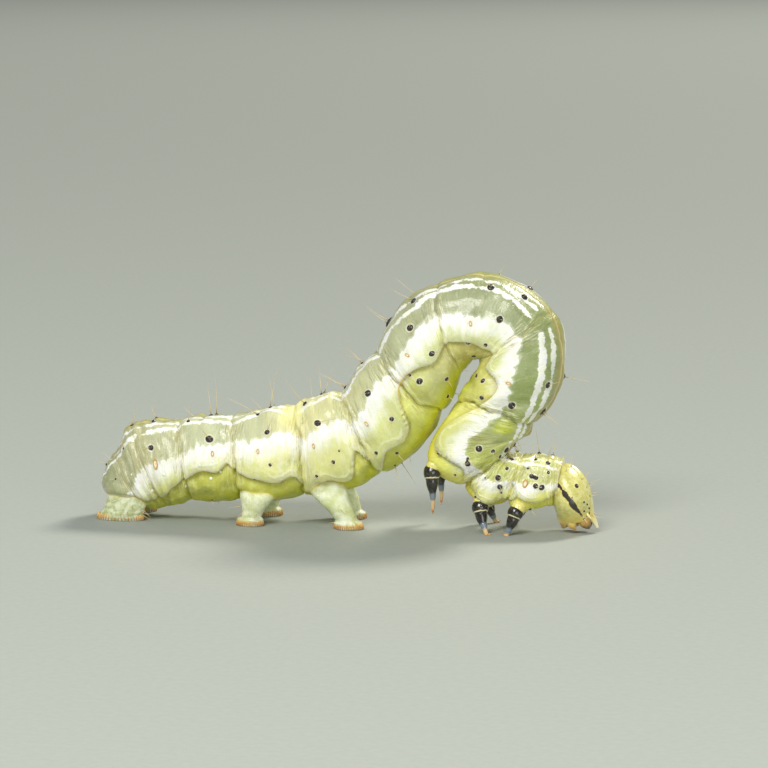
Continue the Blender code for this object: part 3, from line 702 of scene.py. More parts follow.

    # White band with its frayed edge, folds with painted shade in their creases, the lobes' edges with a painted
    # golden rim glow, a painted highlight above and painted shade below, a painted glow round the joint at place 5,
    # fleshy legs and rings round the spots
    frayed = (knobs - 0.5) * 0.26 + (rough - 0.5) * 0.10 + (fine - 0.5) * 0.04 - ring.ease(1.5, 0.5) * 0.25
    near = fold.ease(0.50, 0.12) * side.ease(24, 50) * side.ease(150, 110)
    pleated = ring.ease(10.16, 10.26) * ring.ease(10.60, 10.44) * side.ease(30, 44) * side.ease(92, 80)
    # painted glow: bright yellow on the flank round the joint at place 5, where the skin lets light through
    painted_glow = ring.ease(4.70, 4.95) * ring.ease(5.36, 5.06) * side.ease(76, 30)
    # painted rim glow: a golden line along the lower edge of each side lobe, where its thin lip turns under
    painted_rim_glow = rim.ease(-0.02, 0.005) * rim.ease(0.062, 0.035) * (0.55 + clouds.ease(0.42, 0.60) * 0.4)
    clasper = f.mix(lump.ease(0.38, 0.62), (0.40, 0.45, 0.20), (0.66, 0.70, 0.50))
    flesh = f.mix(rough.ease(0.35, 0.7), (0.60, 0.65, 0.32), (0.84, 0.88, 0.68))
    colour = f.layered(
        colour,
        ((band + frayed + 0.10).ease(-0.02, 0.08) * 0.35, white),
        ((band + frayed).ease(-0.012, 0.02), white),
        ((band + frayed).ease(0.0, 0.10) * strands.ease(0.52, 0.66) * 0.30, (0.62, 0.67, 0.38)),
        ((band + (rough - 0.5) * 0.9 + (fibres - 0.5) * 0.6).ease(0.30, 0.95), lower),
        (ring.ease(12.35, 12.75) * side.ease(84, 108) * 0.8, (0.72, 0.72, 0.12)),
        (pleated * pleats.ease(0.52, 0.60) * 0.7, (0.36, 0.33, 0.14)),
        (near * crease.ease(0.55, 0.63) * 0.6, (0.44, 0.38, 0.14)),
        (near * crease.ease(0.46, 0.40) * 0.5, (0.94, 0.92, 0.66)),
        (painted_glow * 0.9, (0.99, 0.95, 0.40)),
        # painted shade: brown along the bottom of each joint's fold, broken up by noise
        (fold.ease(0.045, 0.0) * lump.ease(0.40, 0.55) * 0.55, (0.55, 0.43, 0.12)),
        # painted highlight: a thin pale strip along the top of each lobe's lip, just above its edge
        (rim.ease(0.16, 0.09) * rim.ease(0.04, 0.07) * 0.35, (0.97, 0.95, 0.70)),
        (painted_rim_glow, (0.78, 0.58, 0.14)),
        # painted shade: dark olive in the band just under each lobe's overhanging edge
        (rim.ease(-0.30, -0.04) * rim.ease(0.0, -0.03) * 0.45, (0.46, 0.42, 0.05)),
        (leg.ease(0.2, 0.7), f.mix(ring.ease(3.0, 1.5) * 0.85, flesh, clasper)),
        (leg.ease(0.1, 0.4) * leg.ease(0.95, 0.6) * 0.6, (0.84, 0.70, 0.20)),
        (spot.ease(1.65, 1.25) * 0.55, (0.92, 0.91, 0.72)),
        (spot.ease(1.12, 0.98), (0.05, 0.045, 0.03)),
    )
    matt = (band + frayed).ease(-0.05, 0.1) * 0.16
    f.put(f.surface.inputs["Coat Weight"], 0.36 - matt)
    pebbles = f.cells(place, 16.0)
    height = ridge * 0.35 + across * 0.60 + fine * 0.30 + pebbles * 0.25 + near * crease * 0.6 - pleated * pleats
    return f.paint(colour, matt + fine * 0.25 + 0.2, height, 0.036)


def spot_finish():
    """Hard black beads, with a faint brown in the gloss."""
    f = Finish("larva_spot_black", Roughness=0.22, Specular_IOR_Level=0.5, Coat_Weight=0.4, Coat_Roughness=0.1)
    grain = f.noise(f.millimetres(), 22.0, 3.0)
    colour = f.mix(grain, (0.012, 0.010, 0.009), (0.045, 0.032, 0.024))
    return f.paint(colour, 0.16 + grain * 0.18, grain, 0.006)


def pale_spot_finish():
    """Small glossy beads the colour of cream."""
    f = Finish("larva_spot_pale", Roughness=0.2, Coat_Weight=0.5, Coat_Roughness=0.06, Subsurface_Weight=0.3,
               Subsurface_Scale=0.1 * MM)
    grain = f.noise(f.millimetres(), 20.0, 3.0)
    return f.paint(f.mix(grain, (0.86, 0.88, 0.66), (0.97, 0.97, 0.90)), None, grain, 0.005)


def breathing_finish():
    """Tan ring with a pinkish white pad inside it and a dark slit."""
    f = Finish("larva_breathing_hole", Roughness=0.4)
    ring = f.attribute("ring")
    grain = f.noise(f.millimetres(), 18.0, 3.0)
    colour = f.layered(
        f.mix(grain, (0.80, 0.70, 0.50), (0.92, 0.86, 0.70)),
        (ring.ease(0.45, 0.62), (0.62, 0.40, 0.14)),
        (ring.ease(0.16, 0.08), (0.22, 0.14, 0.06)),
    )
    return f.paint(colour, None, grain, 0.008)


def hair_finish():
    """Tan bristle, paler to its tip and darker at its root."""
    f = Finish("larva_bristle", Roughness=0.35, Specular_IOR_Level=0.5)
    tint = f.noise(f.millimetres(), 1.4, 1.0)
    tan = f.mix(tint, (0.54, 0.38, 0.12), (0.84, 0.72, 0.42))
    return f.paint(f.mix(f.attribute("reach").ease(0.0, 0.25), (0.30, 0.20, 0.07), tan), 0.3 + tint * 0.2)


def leg_finish():
    """Walking leg: a fleshy yellow root, two glossy black segments with a thin pale ring between them,
    then a segment painted blue-grey as a painted highlight on black, and an orange-tan tip."""
    f = Finish("larva_leg", Specular_IOR_Level=0.6, Coat_Weight=0.6, Coat_Roughness=0.06)
    grain = f.noise(f.millimetres(), 9.0, 4.0)
    wavy = f.attribute("reach") + (grain - 0.5) * 0.03
    colour = f.layered(
        f.mix(grain, (0.70, 0.62, 0.10), (0.86, 0.80, 0.34)),
        (wavy.ease(0.155, 0.17), f.mix(grain.ease(0.5, 0.8), (0.012, 0.011, 0.009), (0.08, 0.065, 0.03))),
        (wavy.ease(0.325, 0.332) * wavy.ease(0.358, 0.350), (0.80, 0.74, 0.46)),
        # painted highlight: blue-grey over the black of the fourth segment
        (wavy.ease(0.60, 0.68) * 0.85, (0.22, 0.27, 0.32)),
        (wavy.ease(0.74, 0.80), f.mix(grain, (0.62, 0.36, 0.12), (0.80, 0.62, 0.38))),
        (wavy.ease(0.92, 0.98), (0.62, 0.22, 0.05)),
    )
    return f.paint(colour, 0.10 + grain * 0.2, grain, 0.012)


def claw_finish():
    """Amber horn, darker to the point."""
    f = Finish("larva_claw", Roughness=0.25, Specular_IOR_Level=0.6, Coat_Weight=0.3, Coat_Roughness=0.1)
    grain = f.noise(f.millimetres(), 14.0, 2.0)
    colour = f.mix(f.attribute("reach") + (grain - 0.5) * 0.4, (0.84, 0.56, 0.16), (0.50, 0.18, 0.03))
    return f.paint(colour, None, grain, 0.006)


def head_finish():
    """Yellow-green capsule, netted with paler patches, with a broken black stripe down its cheek and black
    spots."""
    f = Finish("larva_head", Roughness=0.3, Specular_IOR_Level=0.55, Coat_Weight=0.35, Coat_Roughness=0.12,
               Subsurface_Weight=0.35, Subsurface_Scale=0.3 * MM, Subsurface_Radius=(1.0, 0.85, 0.3))
    place = f.millimetres()
    spot, seam, share = f.attribute("spot"), f.attribute("seam"), f.attribute("share")
    net = f.noise(place, 6.0, 4.0, 0.6)
    fine = f.noise(place, 20.0, 3.0, 0.6)
    stripe = f.attribute("stripe") + (net - 0.5) * 0.10 + (fine - 0.5) * 0.07
    colour = f.layered(
        f.mix(net.ease(0.38, 0.62), (0.60, 0.57, 0.14), (0.74, 0.71, 0.30)),
        (fine.ease(0.5, 0.7) * 0.30, (0.84, 0.82, 0.50)),
        (share.ease(0.30, 0.0) * 0.6, (0.50, 0.46, 0.12)),
        (share.ease(0.76, 1.0) * 0.75, (0.88, 0.68, 0.14)),
        (seam.ease(0.05, 0.0) * 0.5, (0.40, 0.28, 0.08)),
        (stripe.ease(0.14, 0.08) * 0.6, (0.80, 0.62, 0.14)),
        (stripe.ease(0.085, 0.065), (0.03, 0.025, 0.02)),
        (spot.ease(1.7, 1.2) * 0.6, (0.88, 0.82, 0.40)),
        (spot.ease(1.1, 0.95), (0.05, 0.04, 0.03)),
    )
    return f.paint(colour, 0.22 + fine * 0.2, f.cells(place, 12.0) * 0.6 + fine * 0.4, 0.010)


def mouth_finish(name, root, tip):
    """Horny mouthpart that runs from one colour at its root to another at its tip."""
    f = Finish(name, Roughness=0.28, Specular_IOR_Level=0.6, Coat_Weight=0.3, Coat_Roughness=0.1)
    grain = f.noise(f.millimetres(), 12.0, 3.0)
    share = (f.attribute("reach") + (grain - 0.5) * 0.5).ease(0.2, 0.9)
    return f.paint(f.mix(share, root, tip), 0.2 + grain * 0.2, grain, 0.008)


# The skin

ROWS_PER_RING, BODY_COLUMNS = 34, 168


def even_angles(count):
    """Degrees round the body, closer together near the edges of the side lobes."""
    fine = np.linspace(-180, 180, 721)
    density = 1 + 0.9 * bell(np.abs(fine), 118, 30)
    total = np.concatenate([[0], np.cumsum((density[1:] + density[:-1]) / 2)])
    return np.interp(np.arange(count) / count * total[-1], total, fine)


def even_places(per_ring):
    """Places along the body, closer together at the folds and at the round tail."""
    share = np.arange(per_ring) / per_ring
    share = share - 0.55 * np.sin(2 * np.pi * share) / (2 * np.pi)
    first = TAIL_START + (1 - TAIL_START) * (np.arange(per_ring) / per_ring) ** 1.5
    rest = [ring + share for ring in range(1, RINGS)]
    return np.concatenate([first, *rest, np.array([RINGS, NECK_END])])


def body_mesh(name):
    """Loft of the whole body, with the place in rings and the degrees round it of each of its points."""
    places, degrees = np.meshgrid(even_places(ROWS_PER_RING), even_angles(BODY_COLUMNS), indexing="ij")
    places = places + joint_bow(places, side_of(places, degrees))
    obj = make_piece(name, *closed_tube(skin_points(places, degrees)), None)
    return obj, places.ravel(), degrees.ravel()


def fleshy_leg_rows(name, side):
    """Level ovals down a fleshy leg: smooth between its levels, with slight folds, and a rounded rim at the
    sole."""
    levels = np.array(FLESHY_LEGS[name], float)
    knots = np.arange(len(levels), dtype=float)
    places = np.linspace(0, knots[-1], 46)
    z, x, out, half_long, half_wide = smooth_through(places, knots, levels).T
    z = np.maximum(z, 0)
    step = LEFT_STEP[name] if side < 0 else 0.0
    ripple = 1 + 0.018 * np.sin(places * 8.0) * ease(places, 0.5, 1.5)
    close = np.sqrt(np.clip(1 - (1 - np.clip(z / 0.05, 0, 1)) ** 2, 0, 1)) * 0.06 + 0.94
    angles = np.linspace(0, 2 * np.pi, 44, endpoint=False)
    crimp = 1 + 0.02 * np.sin(angles * 7)[None, :] * bell(z, 0.1, 0.2)[:, None]
    grow = (ripple * close)[:, None] * crimp
    out = out - 0.10 * ease(z, 0.85, 1.4) * (name != "clasper")
    px = (x + step * (1 - z / z[0]))[:, None] + half_long[:, None] * grow * np.cos(angles)
    py = -side * (out[:, None] + half_wide[:, None] * grow * np.sin(angles))
    return np.stack([px, py, np.repeat(z[:, None], len(angles), 1)], -1)


def union(obj, other):
    """Joins a closed mesh into another's by a Boolean, and removes it."""
    join = obj.modifiers.new("join", "BOOLEAN")
    join.operation = "UNION"
    join.solver = "MANIFOLD"
    join.object = other
    shaped = bpy.data.meshes.new_from_object(obj.evaluated_get(bpy.context.evaluated_depsgraph_get()))
    obj.modifiers.clear()
    obj.data = shaped
    bpy.data.objects.remove(other)


def write_uv(mesh, name, uv):
    layer = mesh.uv_layers.new(name=name)
    layer.data.foreach_set("uv", uv.astype(np.float32).ravel())


def read(items, key, columns, kind=float):
    """One property of all of a mesh's items, as an array with so many columns."""
    found = np.zeros(len(items) * columns, kind)
    items.foreach_get(key, found)
    return found.reshape(-1, columns)


def loops_of(mesh):
    return read(mesh.loops, "vertex_index", 1, np.int32)[:, 0]


def relaxed(values, edges, share, rounds):
    """Values after rounds in which each moves by its share towards the mean of its neighbours."""
    count = np.maximum(np.bincount(edges.ravel(), minlength=len(values)), 1)[:, None]
    for _ in range(rounds):
        total = np.stack([
            np.bincount(edges[:, 0], values[edges[:, 1], k], len(values))
            + np.bincount(edges[:, 1], values[edges[:, 0], k], len(values))
            for k in range(values.shape[1])
        ], 1)
        values = values + share * (total / count - values)
    return values


def mark_fields(places, degrees):
    """Distances in mm, and degrees, that the skin's finish reads at each point."""
    side = side_of(places, degrees)
    from_edge = fold_share(places, side)[2]
    end = along(LINES_END, places)
    gap = ease(places, 8.92, 8.97) * (1 - ease(places, 9.05, 9.11))
    bead = np.sin(places * 47.0 + 2.0 * np.sin(places * 13.0)) * 0.012
    wide = bell(places, 9.5, 0.5)
    fingers = np.abs(np.sin(places * 19.0 + 1.3 * np.sin(places * 5.3))) ** 0.7
    return {
        "ring_place": places,
        "side": side,
        "rim": below_rim(places, side),
        "fold": from_edge,
        "line_a": 0.080 + 0.03 * wide - np.abs(side - end * 0.42 - 4.0) * MM_PER_DEGREE - 0.3 * gap + bead,
        "line_b": 0.100 + 0.05 * wide - np.abs(side - end + 3.4) * MM_PER_DEGREE - 0.3 * gap - bead,
        "band": (side - along(BAND_TOP, places)) * MM_PER_DEGREE - 0.12
        + fingers * (0.20 - 0.12 * ease(places, 10, 10.8)),
    }


def spot_distance(points, spots):
    """Distance from each point to the nearest black spot's middle, as a share of that spot's radius."""
    nearest = np.full(len(points), FAR)
    for place, degrees, radius in spots:
        middle = skin_frame(place, degrees)[0]
        close = np.abs(points - middle).max(1) < radius * 5
        share = np.linalg.norm(points[close] - middle, axis=1) / radius
        nearest[close] = np.minimum(nearest[close], share)
    return nearest


def add_skin(spots):
    """The body with its fleshy legs in one skin, relaxed where they join, with the fields of its finish. A
    map keeps each point's place in rings and degrees through the Boolean, or -1 on the fleshy legs."""
    obj, places, degrees = body_mesh("skin")
    index = np.minimum(loops_of(obj.data), len(places) - 1)
    write_uv(obj.data, "Marks", np.stack([places[index] / RINGS, degrees[index] / 360 + 0.5], 1))
    tubes = [fleshy_leg_rows(name, side) for name in FLESHY_LEGS for side in (1, -1)]
    legs = make_piece("legs", *join_tubes(tubes), None)
    write_uv(legs.data, "Marks", np.full((len(legs.data.loops), 2), -1.0))
    union(obj, legs)
    mesh = obj.data
    index, edges = loops_of(mesh), read(mesh.edges, "vertices", 2, np.int32)
    points = read(mesh.vertices, "co", 3) / MM
    uv = read(mesh.uv_layers["Marks"].data, "uv", 2, np.float32)
    on_leg = uv[:, 0] < -0.5
    leg_share, body_share = np.zeros(len(points)), np.zeros(len(points))
    leg_share[index[on_leg]] = 1
    body_share[index[~on_leg]] = 1
    place, turn = np.full(len(points), -1.0), np.zeros(len(points))
    place[index[~on_leg]] = uv[~on_leg, 0] * RINGS
    turn[index[~on_leg]] = (uv[~on_leg, 1] - 0.5) * 360
    near = np.clip(relaxed((leg_share * body_share)[:, None], edges, 0.9, 4) * 10, 0, 1)
    points = relaxed(points, edges, 0.5 * near, 6)
    mesh.vertices.foreach_set("co", (points * MM).ravel())
    for name, field in skin_fields(points, place, turn, leg_share, edges, near).items():
        set_attribute(mesh, name, field)
    set_attribute(mesh, "spot", spot_distance(points, spots))
    mesh.uv_layers.remove(mesh.uv_layers["Marks"])
    mesh.materials.clear()
    mesh.materials.append(skin_finish())
    mesh.shade_smooth()
    mesh.update()
    flesh = [n for n in NODES if n.startswith(("abdomen", "thorax", "proleg", "clasper"))]
    return show(obj, "skin", *flesh)


def skin_fields(points, place, turn, leg_share, edges, near):
    """The finish's fields at every point: from the body's own coordinates there, and on the fleshy legs
    plain values that fade into the body's near the root."""
    on_body = place >= 0
    fields = mark_fields(np.where(on_body, place, 4.5), turn)
    plain = {"side": 150.0, "rim": -0.5, "fold": 1.0, "line_a": -1.0, "line_b": -1.0, "band": 2.0}
    plain["ring_place"] = np.interp(points[:, 0], (-8, -3, 0), (0.8, 4.5, 5.5))
    made = {name: np.where(on_body, field, plain[name]) for name, field in fields.items()}
    made["leg"] = relaxed(leg_share[:, None] * (place < 0)[:, None], edges, 0.5 * near, 6)[:, 0]
    return made


# Spots, breathing holes and hairs

# Profile of a spot's bead: share of its radius, and share of the dome's height.
BEAD = ((0.98, -0.35), (1.0, 0.15), (0.90, 0.55), (0.68, 0.85), (0.42, 0.96), (0.33, 1.25), (0.20, 1.30),
        (0.12, 1.0))
BEAD_HEIGHT = 0.42  # of its radius
# Profile of a breathing hole, from its rim to its slit: share of its half width, and height in mm.
HOLE_SHARES = (1.0, 1.02, 0.92, 0.80, 0.68, 0.60, 0.45, 0.25, 0.10, 0.04)
HOLE_HEIGHTS = (-0.03, 0.012, 0.030, 0.032, 0.020, 0.006, 0.010, 0.012, 0.0, -0.01)
HOLE_WIDTH = 0.055  # mm, the half width that these heights belong to
HAIR_STEPS, HAIR_SIDES = 7, 5
# Length of a bristle in mm against its degrees from the back, and its share of that against its place.
HAIR_BY_SIDE = ((0, 40, 90, 180), (1.15, 0.95, 0.42, 0.6))
HAIR_BY_PLACE = ((0, 2.6, 3.4, 5.8, 6.4, 7.9, 8, 8.99, 9, 10, 10.3, 12.3, 12.5),
                 (0.5, 0.55, 1.1, 1.2, 0.9, 0.9, 0.5, 0.5, 0.8, 0.8, 0.5, 0.5, 0.85))
HOOKS_PER_SOLE, HOOK_STEPS, HOOK_SIDES = 42, 7, 6
SIDE_REACH = 1.97  # mm from the middle, which no bristle's tip passes


def disc_rows(centre, out, ahead, across, radius, profile, columns):
    """Rows of a low bead: circles round its middle, whose radius and height come from its profile."""
    angles = np.linspace(0, 2 * np.pi, columns, endpoint=False)
    loop = np.cos(angles)[:, None] * ahead * radius[0] + np.sin(angles)[:, None] * across * radius[1]
    return np.array([centre + loop * share + out * height for share, height in profile])


def add_spots(name, spots, finish):
    """A bead on every spot: a low dome with a small raised collar in its middle, where the hair stands."""
    tubes = []
    for place, degrees, radius in spots:
        here, out, ahead, across = skin_frame(place, degrees)
        stretch = RANDOM.uniform(0.85, 1.2)
        tilt = RANDOM.uniform(0, np.pi)
        turned = math.cos(tilt) * ahead + math.sin(tilt) * across
        profile = [(share, height * radius * BEAD_HEIGHT) for share, height in BEAD]
        radii = (radius * stretch, radius / stretch)
        tubes.append(disc_rows(here, out, turned, np.cross(out, turned), radii, profile, 14))
    return add_tubes(name, tubes, finish, "skin")


def add_breathing_holes():
    """Oval rings on the sides with a pad inside and a slit along the middle."""
    tubes = []
    for ring, share, degrees, half_high, half_wide in BREATHING_HOLES:
        for side in (1, -1):
            place = ring + share
            turn = degrees if side > 0 else 2 * float(along(TWIST, np.array([place]))[0]) - degrees
            here, out, ahead, across = skin_frame(place, turn)
            profile = [(s, h * half_wide / HOLE_WIDTH) for s, h in zip(HOLE_SHARES, HOLE_HEIGHTS)]
            tubes.append(disc_rows(here, out, ahead, across, (half_wide, half_high), profile, 24))
    field = tube_field(HOLE_SHARES, 24, len(tubes), (1.0, 0.0))
    return add_tubes("breathing_holes", tubes, breathing_finish(), "skin", ring=field)


def hair_rows(root, way, bend, length, radius):
    """A bristle: a line from its root that bends evenly to one side, with a radius that tapers to a point."""
    t = np.linspace(0, 1, HAIR_STEPS)[:, None]
    line = root + way * length * t + bend * length * t**2
    return tube_along(line, radius * (1 - 0.93 * t[:, 0] ** 1.3), HAIR_SIDES)


def add_hairs(spots):
    """One bristle on each spot, long on the back and shorter lower down, and short ones on the fleshy legs."""
    tubes, places = [], []
    for place, degrees, radius in spots:
        here, out, ahead, across = skin_frame(place, degrees)
        side = abs(degrees)
        length = np.interp(side, *HAIR_BY_SIDE) * RANDOM.uniform(0.75, 1.2) * np.interp(place, *HAIR_BY_PLACE)
        length *= 0.45 if radius < 0.05 else 1.6 if 5.7 < place < 7 and side > 100 else 1.0
        way = out + ahead * RANDOM.normal(0, 0.22) + across * RANDOM.normal(0, 0.18)
        way[1] *= 0.45
        way = unit(way + ahead * 0.5 * abs(out[1]) * RANDOM.choice((-1, 1)))
        room = max(SIDE_REACH - abs(here[1]), 0.02) / length
        way[1] = np.clip(way[1], -room, room)
        bend = ahead * RANDOM.normal(0.0, 0.07) + across * RANDOM.normal(0, 0.05)
        tubes.append(hair_rows(here + out * radius * 0.2, way, bend, length, 0.015))
        places.append((place / RINGS, (degrees / 360) % 1))
    for share, turn, _ in HEAD_SPOTS:
        for side in (1, -1):
            root, out = head_place(share, side * turn)
            length = RANDOM.uniform(0.25, 0.5)
            tubes.append(hair_rows(root - out * 0.02, out, RANDOM.normal(0, 0.05, 3), length, 0.012))
            places.append((0.02 + 0.2 * share, 0.5 + side * turn / 400))
    for name in FLESHY_LEGS:
        for side in (1, -1):
            for root, out in fleshy_hair_roots(name, side):
                way = unit(out + RANDOM.normal(0, 0.25, 3) + np.array([0, 0, -0.35]))
                length = min(RANDOM.uniform(0.25, 0.6), max((root[2] - 0.03) / max(-way[2], 0.05), 0.12))
                tubes.append(hair_rows(root - out * 0.02, way, RANDOM.normal(0, 0.06, 3), length, 0.013))
                places.append(((root[0] + 9) / 18, 0.5 - side * 0.1))
    reach = tube_field(np.linspace(0, 1, HAIR_STEPS), HAIR_SIDES, len(tubes))
    obj = add_tubes("bristles", tubes, hair_finish(), "hair", reach=reach)
    each = HAIR_STEPS * HAIR_SIDES + 2
    index = loops_of(obj.data)
    inside = index % each
    patch = np.stack([(inside % HAIR_SIDES) / HAIR_SIDES, inside / each], 1) * 0.003
    write_uv(obj.data, "OFBake", np.array(places)[index // each] * 0.99 + patch)
    return obj


def fleshy_hair_roots(name, side):
    """Places for hairs on the outer side of a fleshy leg, with the way out of it there."""
    rows = fleshy_leg_rows(name, side)
    count = 9 if name == "clasper" else 6
    for _ in range(count):
        row, column = RANDOM.integers(14, 36), RANDOM.integers(2, 21)
        root = rows[row, column]
        yield root, unit(root - rows[row].mean(0))


def add_hooks():
    """Crochets: amber hooks in a dense crown round each fleshy leg's sole, bent outwards at the floor."""
    tubes = []
    for name in FLESHY_LEGS:
        for side in (1, -1):
            rim = fleshy_leg_rows(name, side)[-4]
            middle = rim.mean(0)
            for turn in np.linspace(0, len(rim), HOOKS_PER_SOLE, endpoint=False):
                here = rim[int(turn)]
                out = unit((here - middle) * (1, 1, 0))
                high = RANDOM.uniform(0.16, 0.24)
                t = np.linspace(0, 1, HOOK_STEPS)[:, None]
                line = here - out * 0.035 + out * (0.045 * np.sin(t * 2.4) + 0.03 * t**3)
                line[:, 2] = high * (1 - t[:, 0]) ** 0.9 + 0.016
                tubes.append(tube_along(line, 0.030 * (1 - 0.7 * t[:, 0] ** 2), HOOK_SIDES))
    reach = tube_field(np.linspace(0, 1, HOOK_STEPS), HOOK_SIDES, len(tubes))
    return add_tubes("sole_hooks", tubes, claw_finish(), "leg_horn", reach=reach)


# Walking legs


def leg_line(name, side):
    """Middle line of a walking leg in mm, from inside its root to its tip, with its radius."""
    ring, share, degrees, path = WALKING_LEGS[name]
    root, out = skin_frame(ring + share, degrees)[:2]
    joints = np.array([(root[0] + a, root[1] - o, root[2] - down, r) for a, o, down, r in path])
    inside = np.append(root - out * 0.30, path[0][3] * 0.9)
    joints = np.vstack([inside, joints])
    if name in FLOOR_LEGS:
        joints[-1][2] = 0.03
    knots = np.arange(len(joints), dtype=float)
    line = smooth_through(np.linspace(0, knots[-1], 90), knots, joints)
    line[:, 1] *= side
    return line[:, :3], line[:, 3]


LEG_COLUMNS = 28
CLAW_STEPS, CLAW_SIDES = 8, 10
LEG_JOINTS = (-0.1, 0.16, 0.345, 0.63, 0.79, 1.05)  # shares of a walking leg's length where its segments meet


def add_walking_legs(finish):
    """Six legs: segments that each start a little wider than the end of the one before."""
    claws = []
    joints = np.array(LEG_JOINTS)
    for name in WALKING_LEGS:
        for side, word in SIDES:
            line, radius = leg_line(name, side)
            run = np.concatenate([[0], np.cumsum(np.linalg.norm(np.diff(line, axis=0), axis=1))])
            reach = run / run[-1]
            i = np.clip(np.searchsorted(joints, reach, side="right") - 1, 0, len(joints) - 2)
            within = (reach - joints[i]) / (joints[i + 1] - joints[i])
            shape = 0.86 + 0.16 * np.clip(np.sin(np.pi * np.clip(within, 0, 1)), 0, 1) ** 0.55
            shape *= np.interp(reach, (0, 0.34, 0.38, 0.62, 0.82, 1.0), (1.0, 1.0, 0.84, 0.80, 0.72, 0.80))
            rows = tube_along(line, radius * shape, LEG_COLUMNS)
            rows[:, :, 2] = np.maximum(rows[:, :, 2], 0.004)
            obj = make_piece(f"walking_{name}_{word}", *closed_tube(rows), finish)
            set_attribute(obj.data, "reach", tube_field(reach, LEG_COLUMNS))
            show(obj, "leg_horn", f"{name}_{word}")
            claws.append(claw_rows(line))
    reach = tube_field(np.linspace(0, 1, CLAW_STEPS), CLAW_SIDES, len(claws))
    return add_tubes("claws", claws, claw_finish(), "leg_horn", reach=reach)


def claw_rows(line):
    """A small hooked claw that leaves a leg's tip and turns inwards."""
    tip, way = line[-1], unit(line[-1] - line[-4])
    inward = np.array([0.0, -np.sign(tip[1]), 0.0])
    t = np.linspace(0, 1, CLAW_STEPS)[:, None]
    path = tip - way * 0.05 + way * 0.13 * np.sin(t * 1.5) + inward * 0.06 * t**2
    path[:, 2] = np.maximum(path[:, 2], 0.02)
    return tube_along(path, 0.04 * (1 - 0.85 * t[:, 0]), CLAW_SIDES)


# The head


def head_frame():
    """Crown of the head, and its directions down its length, to the front and to the right side."""
    tilt = math.radians(HEAD_TILT)
    down = np.array([math.cos(tilt), 0.0, -math.sin(tilt)])
    front = np.array([math.sin(tilt), 0.0, math.cos(tilt)])
    return np.array([CROWN[0], 0.0, CROWN[1]]), down, front, np.array([0.0, -1.0, 0.0])


def head_points(share, degrees):
    """Points of the head in mm: ovals whose depth and width follow a blunt oval from the crown to the widest
    place and then narrow to the mouth, with a cleft at the crown and grooves round the face."""
    crown, down, front, right = head_frame()
    swell = (1 - np.clip(1 - share / HEAD_WIDEST, 0, 1) ** CROWN_BLUNT) ** (1 / CROWN_BLUNT)
    narrow = np.clip((share - HEAD_WIDEST) / (1 - HEAD_WIDEST), 0, 1) ** 1.5
    depth = HEAD_DEPTH / 2 * swell - (HEAD_DEPTH - MOUTH_DEPTH) / 2 * narrow
    width = HEAD_WIDTH / 2 * swell - (HEAD_WIDTH - MOUTH_WIDTH) / 2 * narrow
    turn = np.radians(degrees)
    across = width * np.sin(turn)
    cleft = 0.10 * bell(across, 0, 0.16) * (1 - share) ** 2
    reach = depth * np.cos(turn) * (1 - cleft / np.maximum(depth, 0.3)) - CROWN_BACK * (1 - share) ** 3
    seam = head_seam(share, across, np.cos(turn))
    lift = -0.035 * bell(seam, 0, 0.035) + 0.02 * bell(degrees, 75, 20) * bell(share, 0.8, 0.12)
    out = np.cos(turn)[..., None] * front + np.sin(turn)[..., None] * right
    points = crown + (share * HEAD_LENGTH + cleft)[..., None] * down
    return points + reach[..., None] * front + across[..., None] * right + lift[..., None] * out


def head_seam(share, across, frontness):
    """Distance in mm from the line down the middle of the crown, which forks round the face."""
    fork = np.clip((share - 0.40) / 0.46, 0, 1) * 0.42
    near = np.abs(np.abs(across) - fork)
    return np.where((share < 0.93) & (frontness > 0), near, 1.0)


def head_place(share, degrees):
    """A point of the head in mm and the way out of it there."""
    shares = np.array([share, share + 0.01, share])
    turns = np.array([degrees, degrees, degrees + 1.0], float)
    here, lower, beside = head_points(shares, turns)
    out = unit(np.cross(lower - here, beside - here))
    centre = head_points(np.full(2, share), np.array([0.0, 180.0])).mean(0)
    return here, out * np.sign(out @ (here - centre))


def stripe_distance(points):
    """Distance in mm from each point to the nearer cheek stripe."""
    shares, turns = np.array(HEAD_STRIPE, float).T
    nearest = np.full(len(points), FAR)
    for side in (1, -1):
        fine = np.linspace(0, 1, 60)
        knots = np.linspace(0, 1, len(shares))
        line = head_points(np.interp(fine, knots, shares), side * np.interp(fine, knots, turns))
        wide = 0.02 * np.sin(fine * 19.0) + 0.02 * bell(fine, 0.62, 0.25) - 0.03 * ease(fine, 0.85, 1.0)
        thin = 0.05 * bell(fine, 0.30, 0.05) + 0.02 * (1 - ease(fine, 0.0, 0.3))
        for place, wider in zip(line, wide - thin):
            nearest = np.minimum(nearest, np.linalg.norm(points - place, axis=1) - wider)
    return nearest


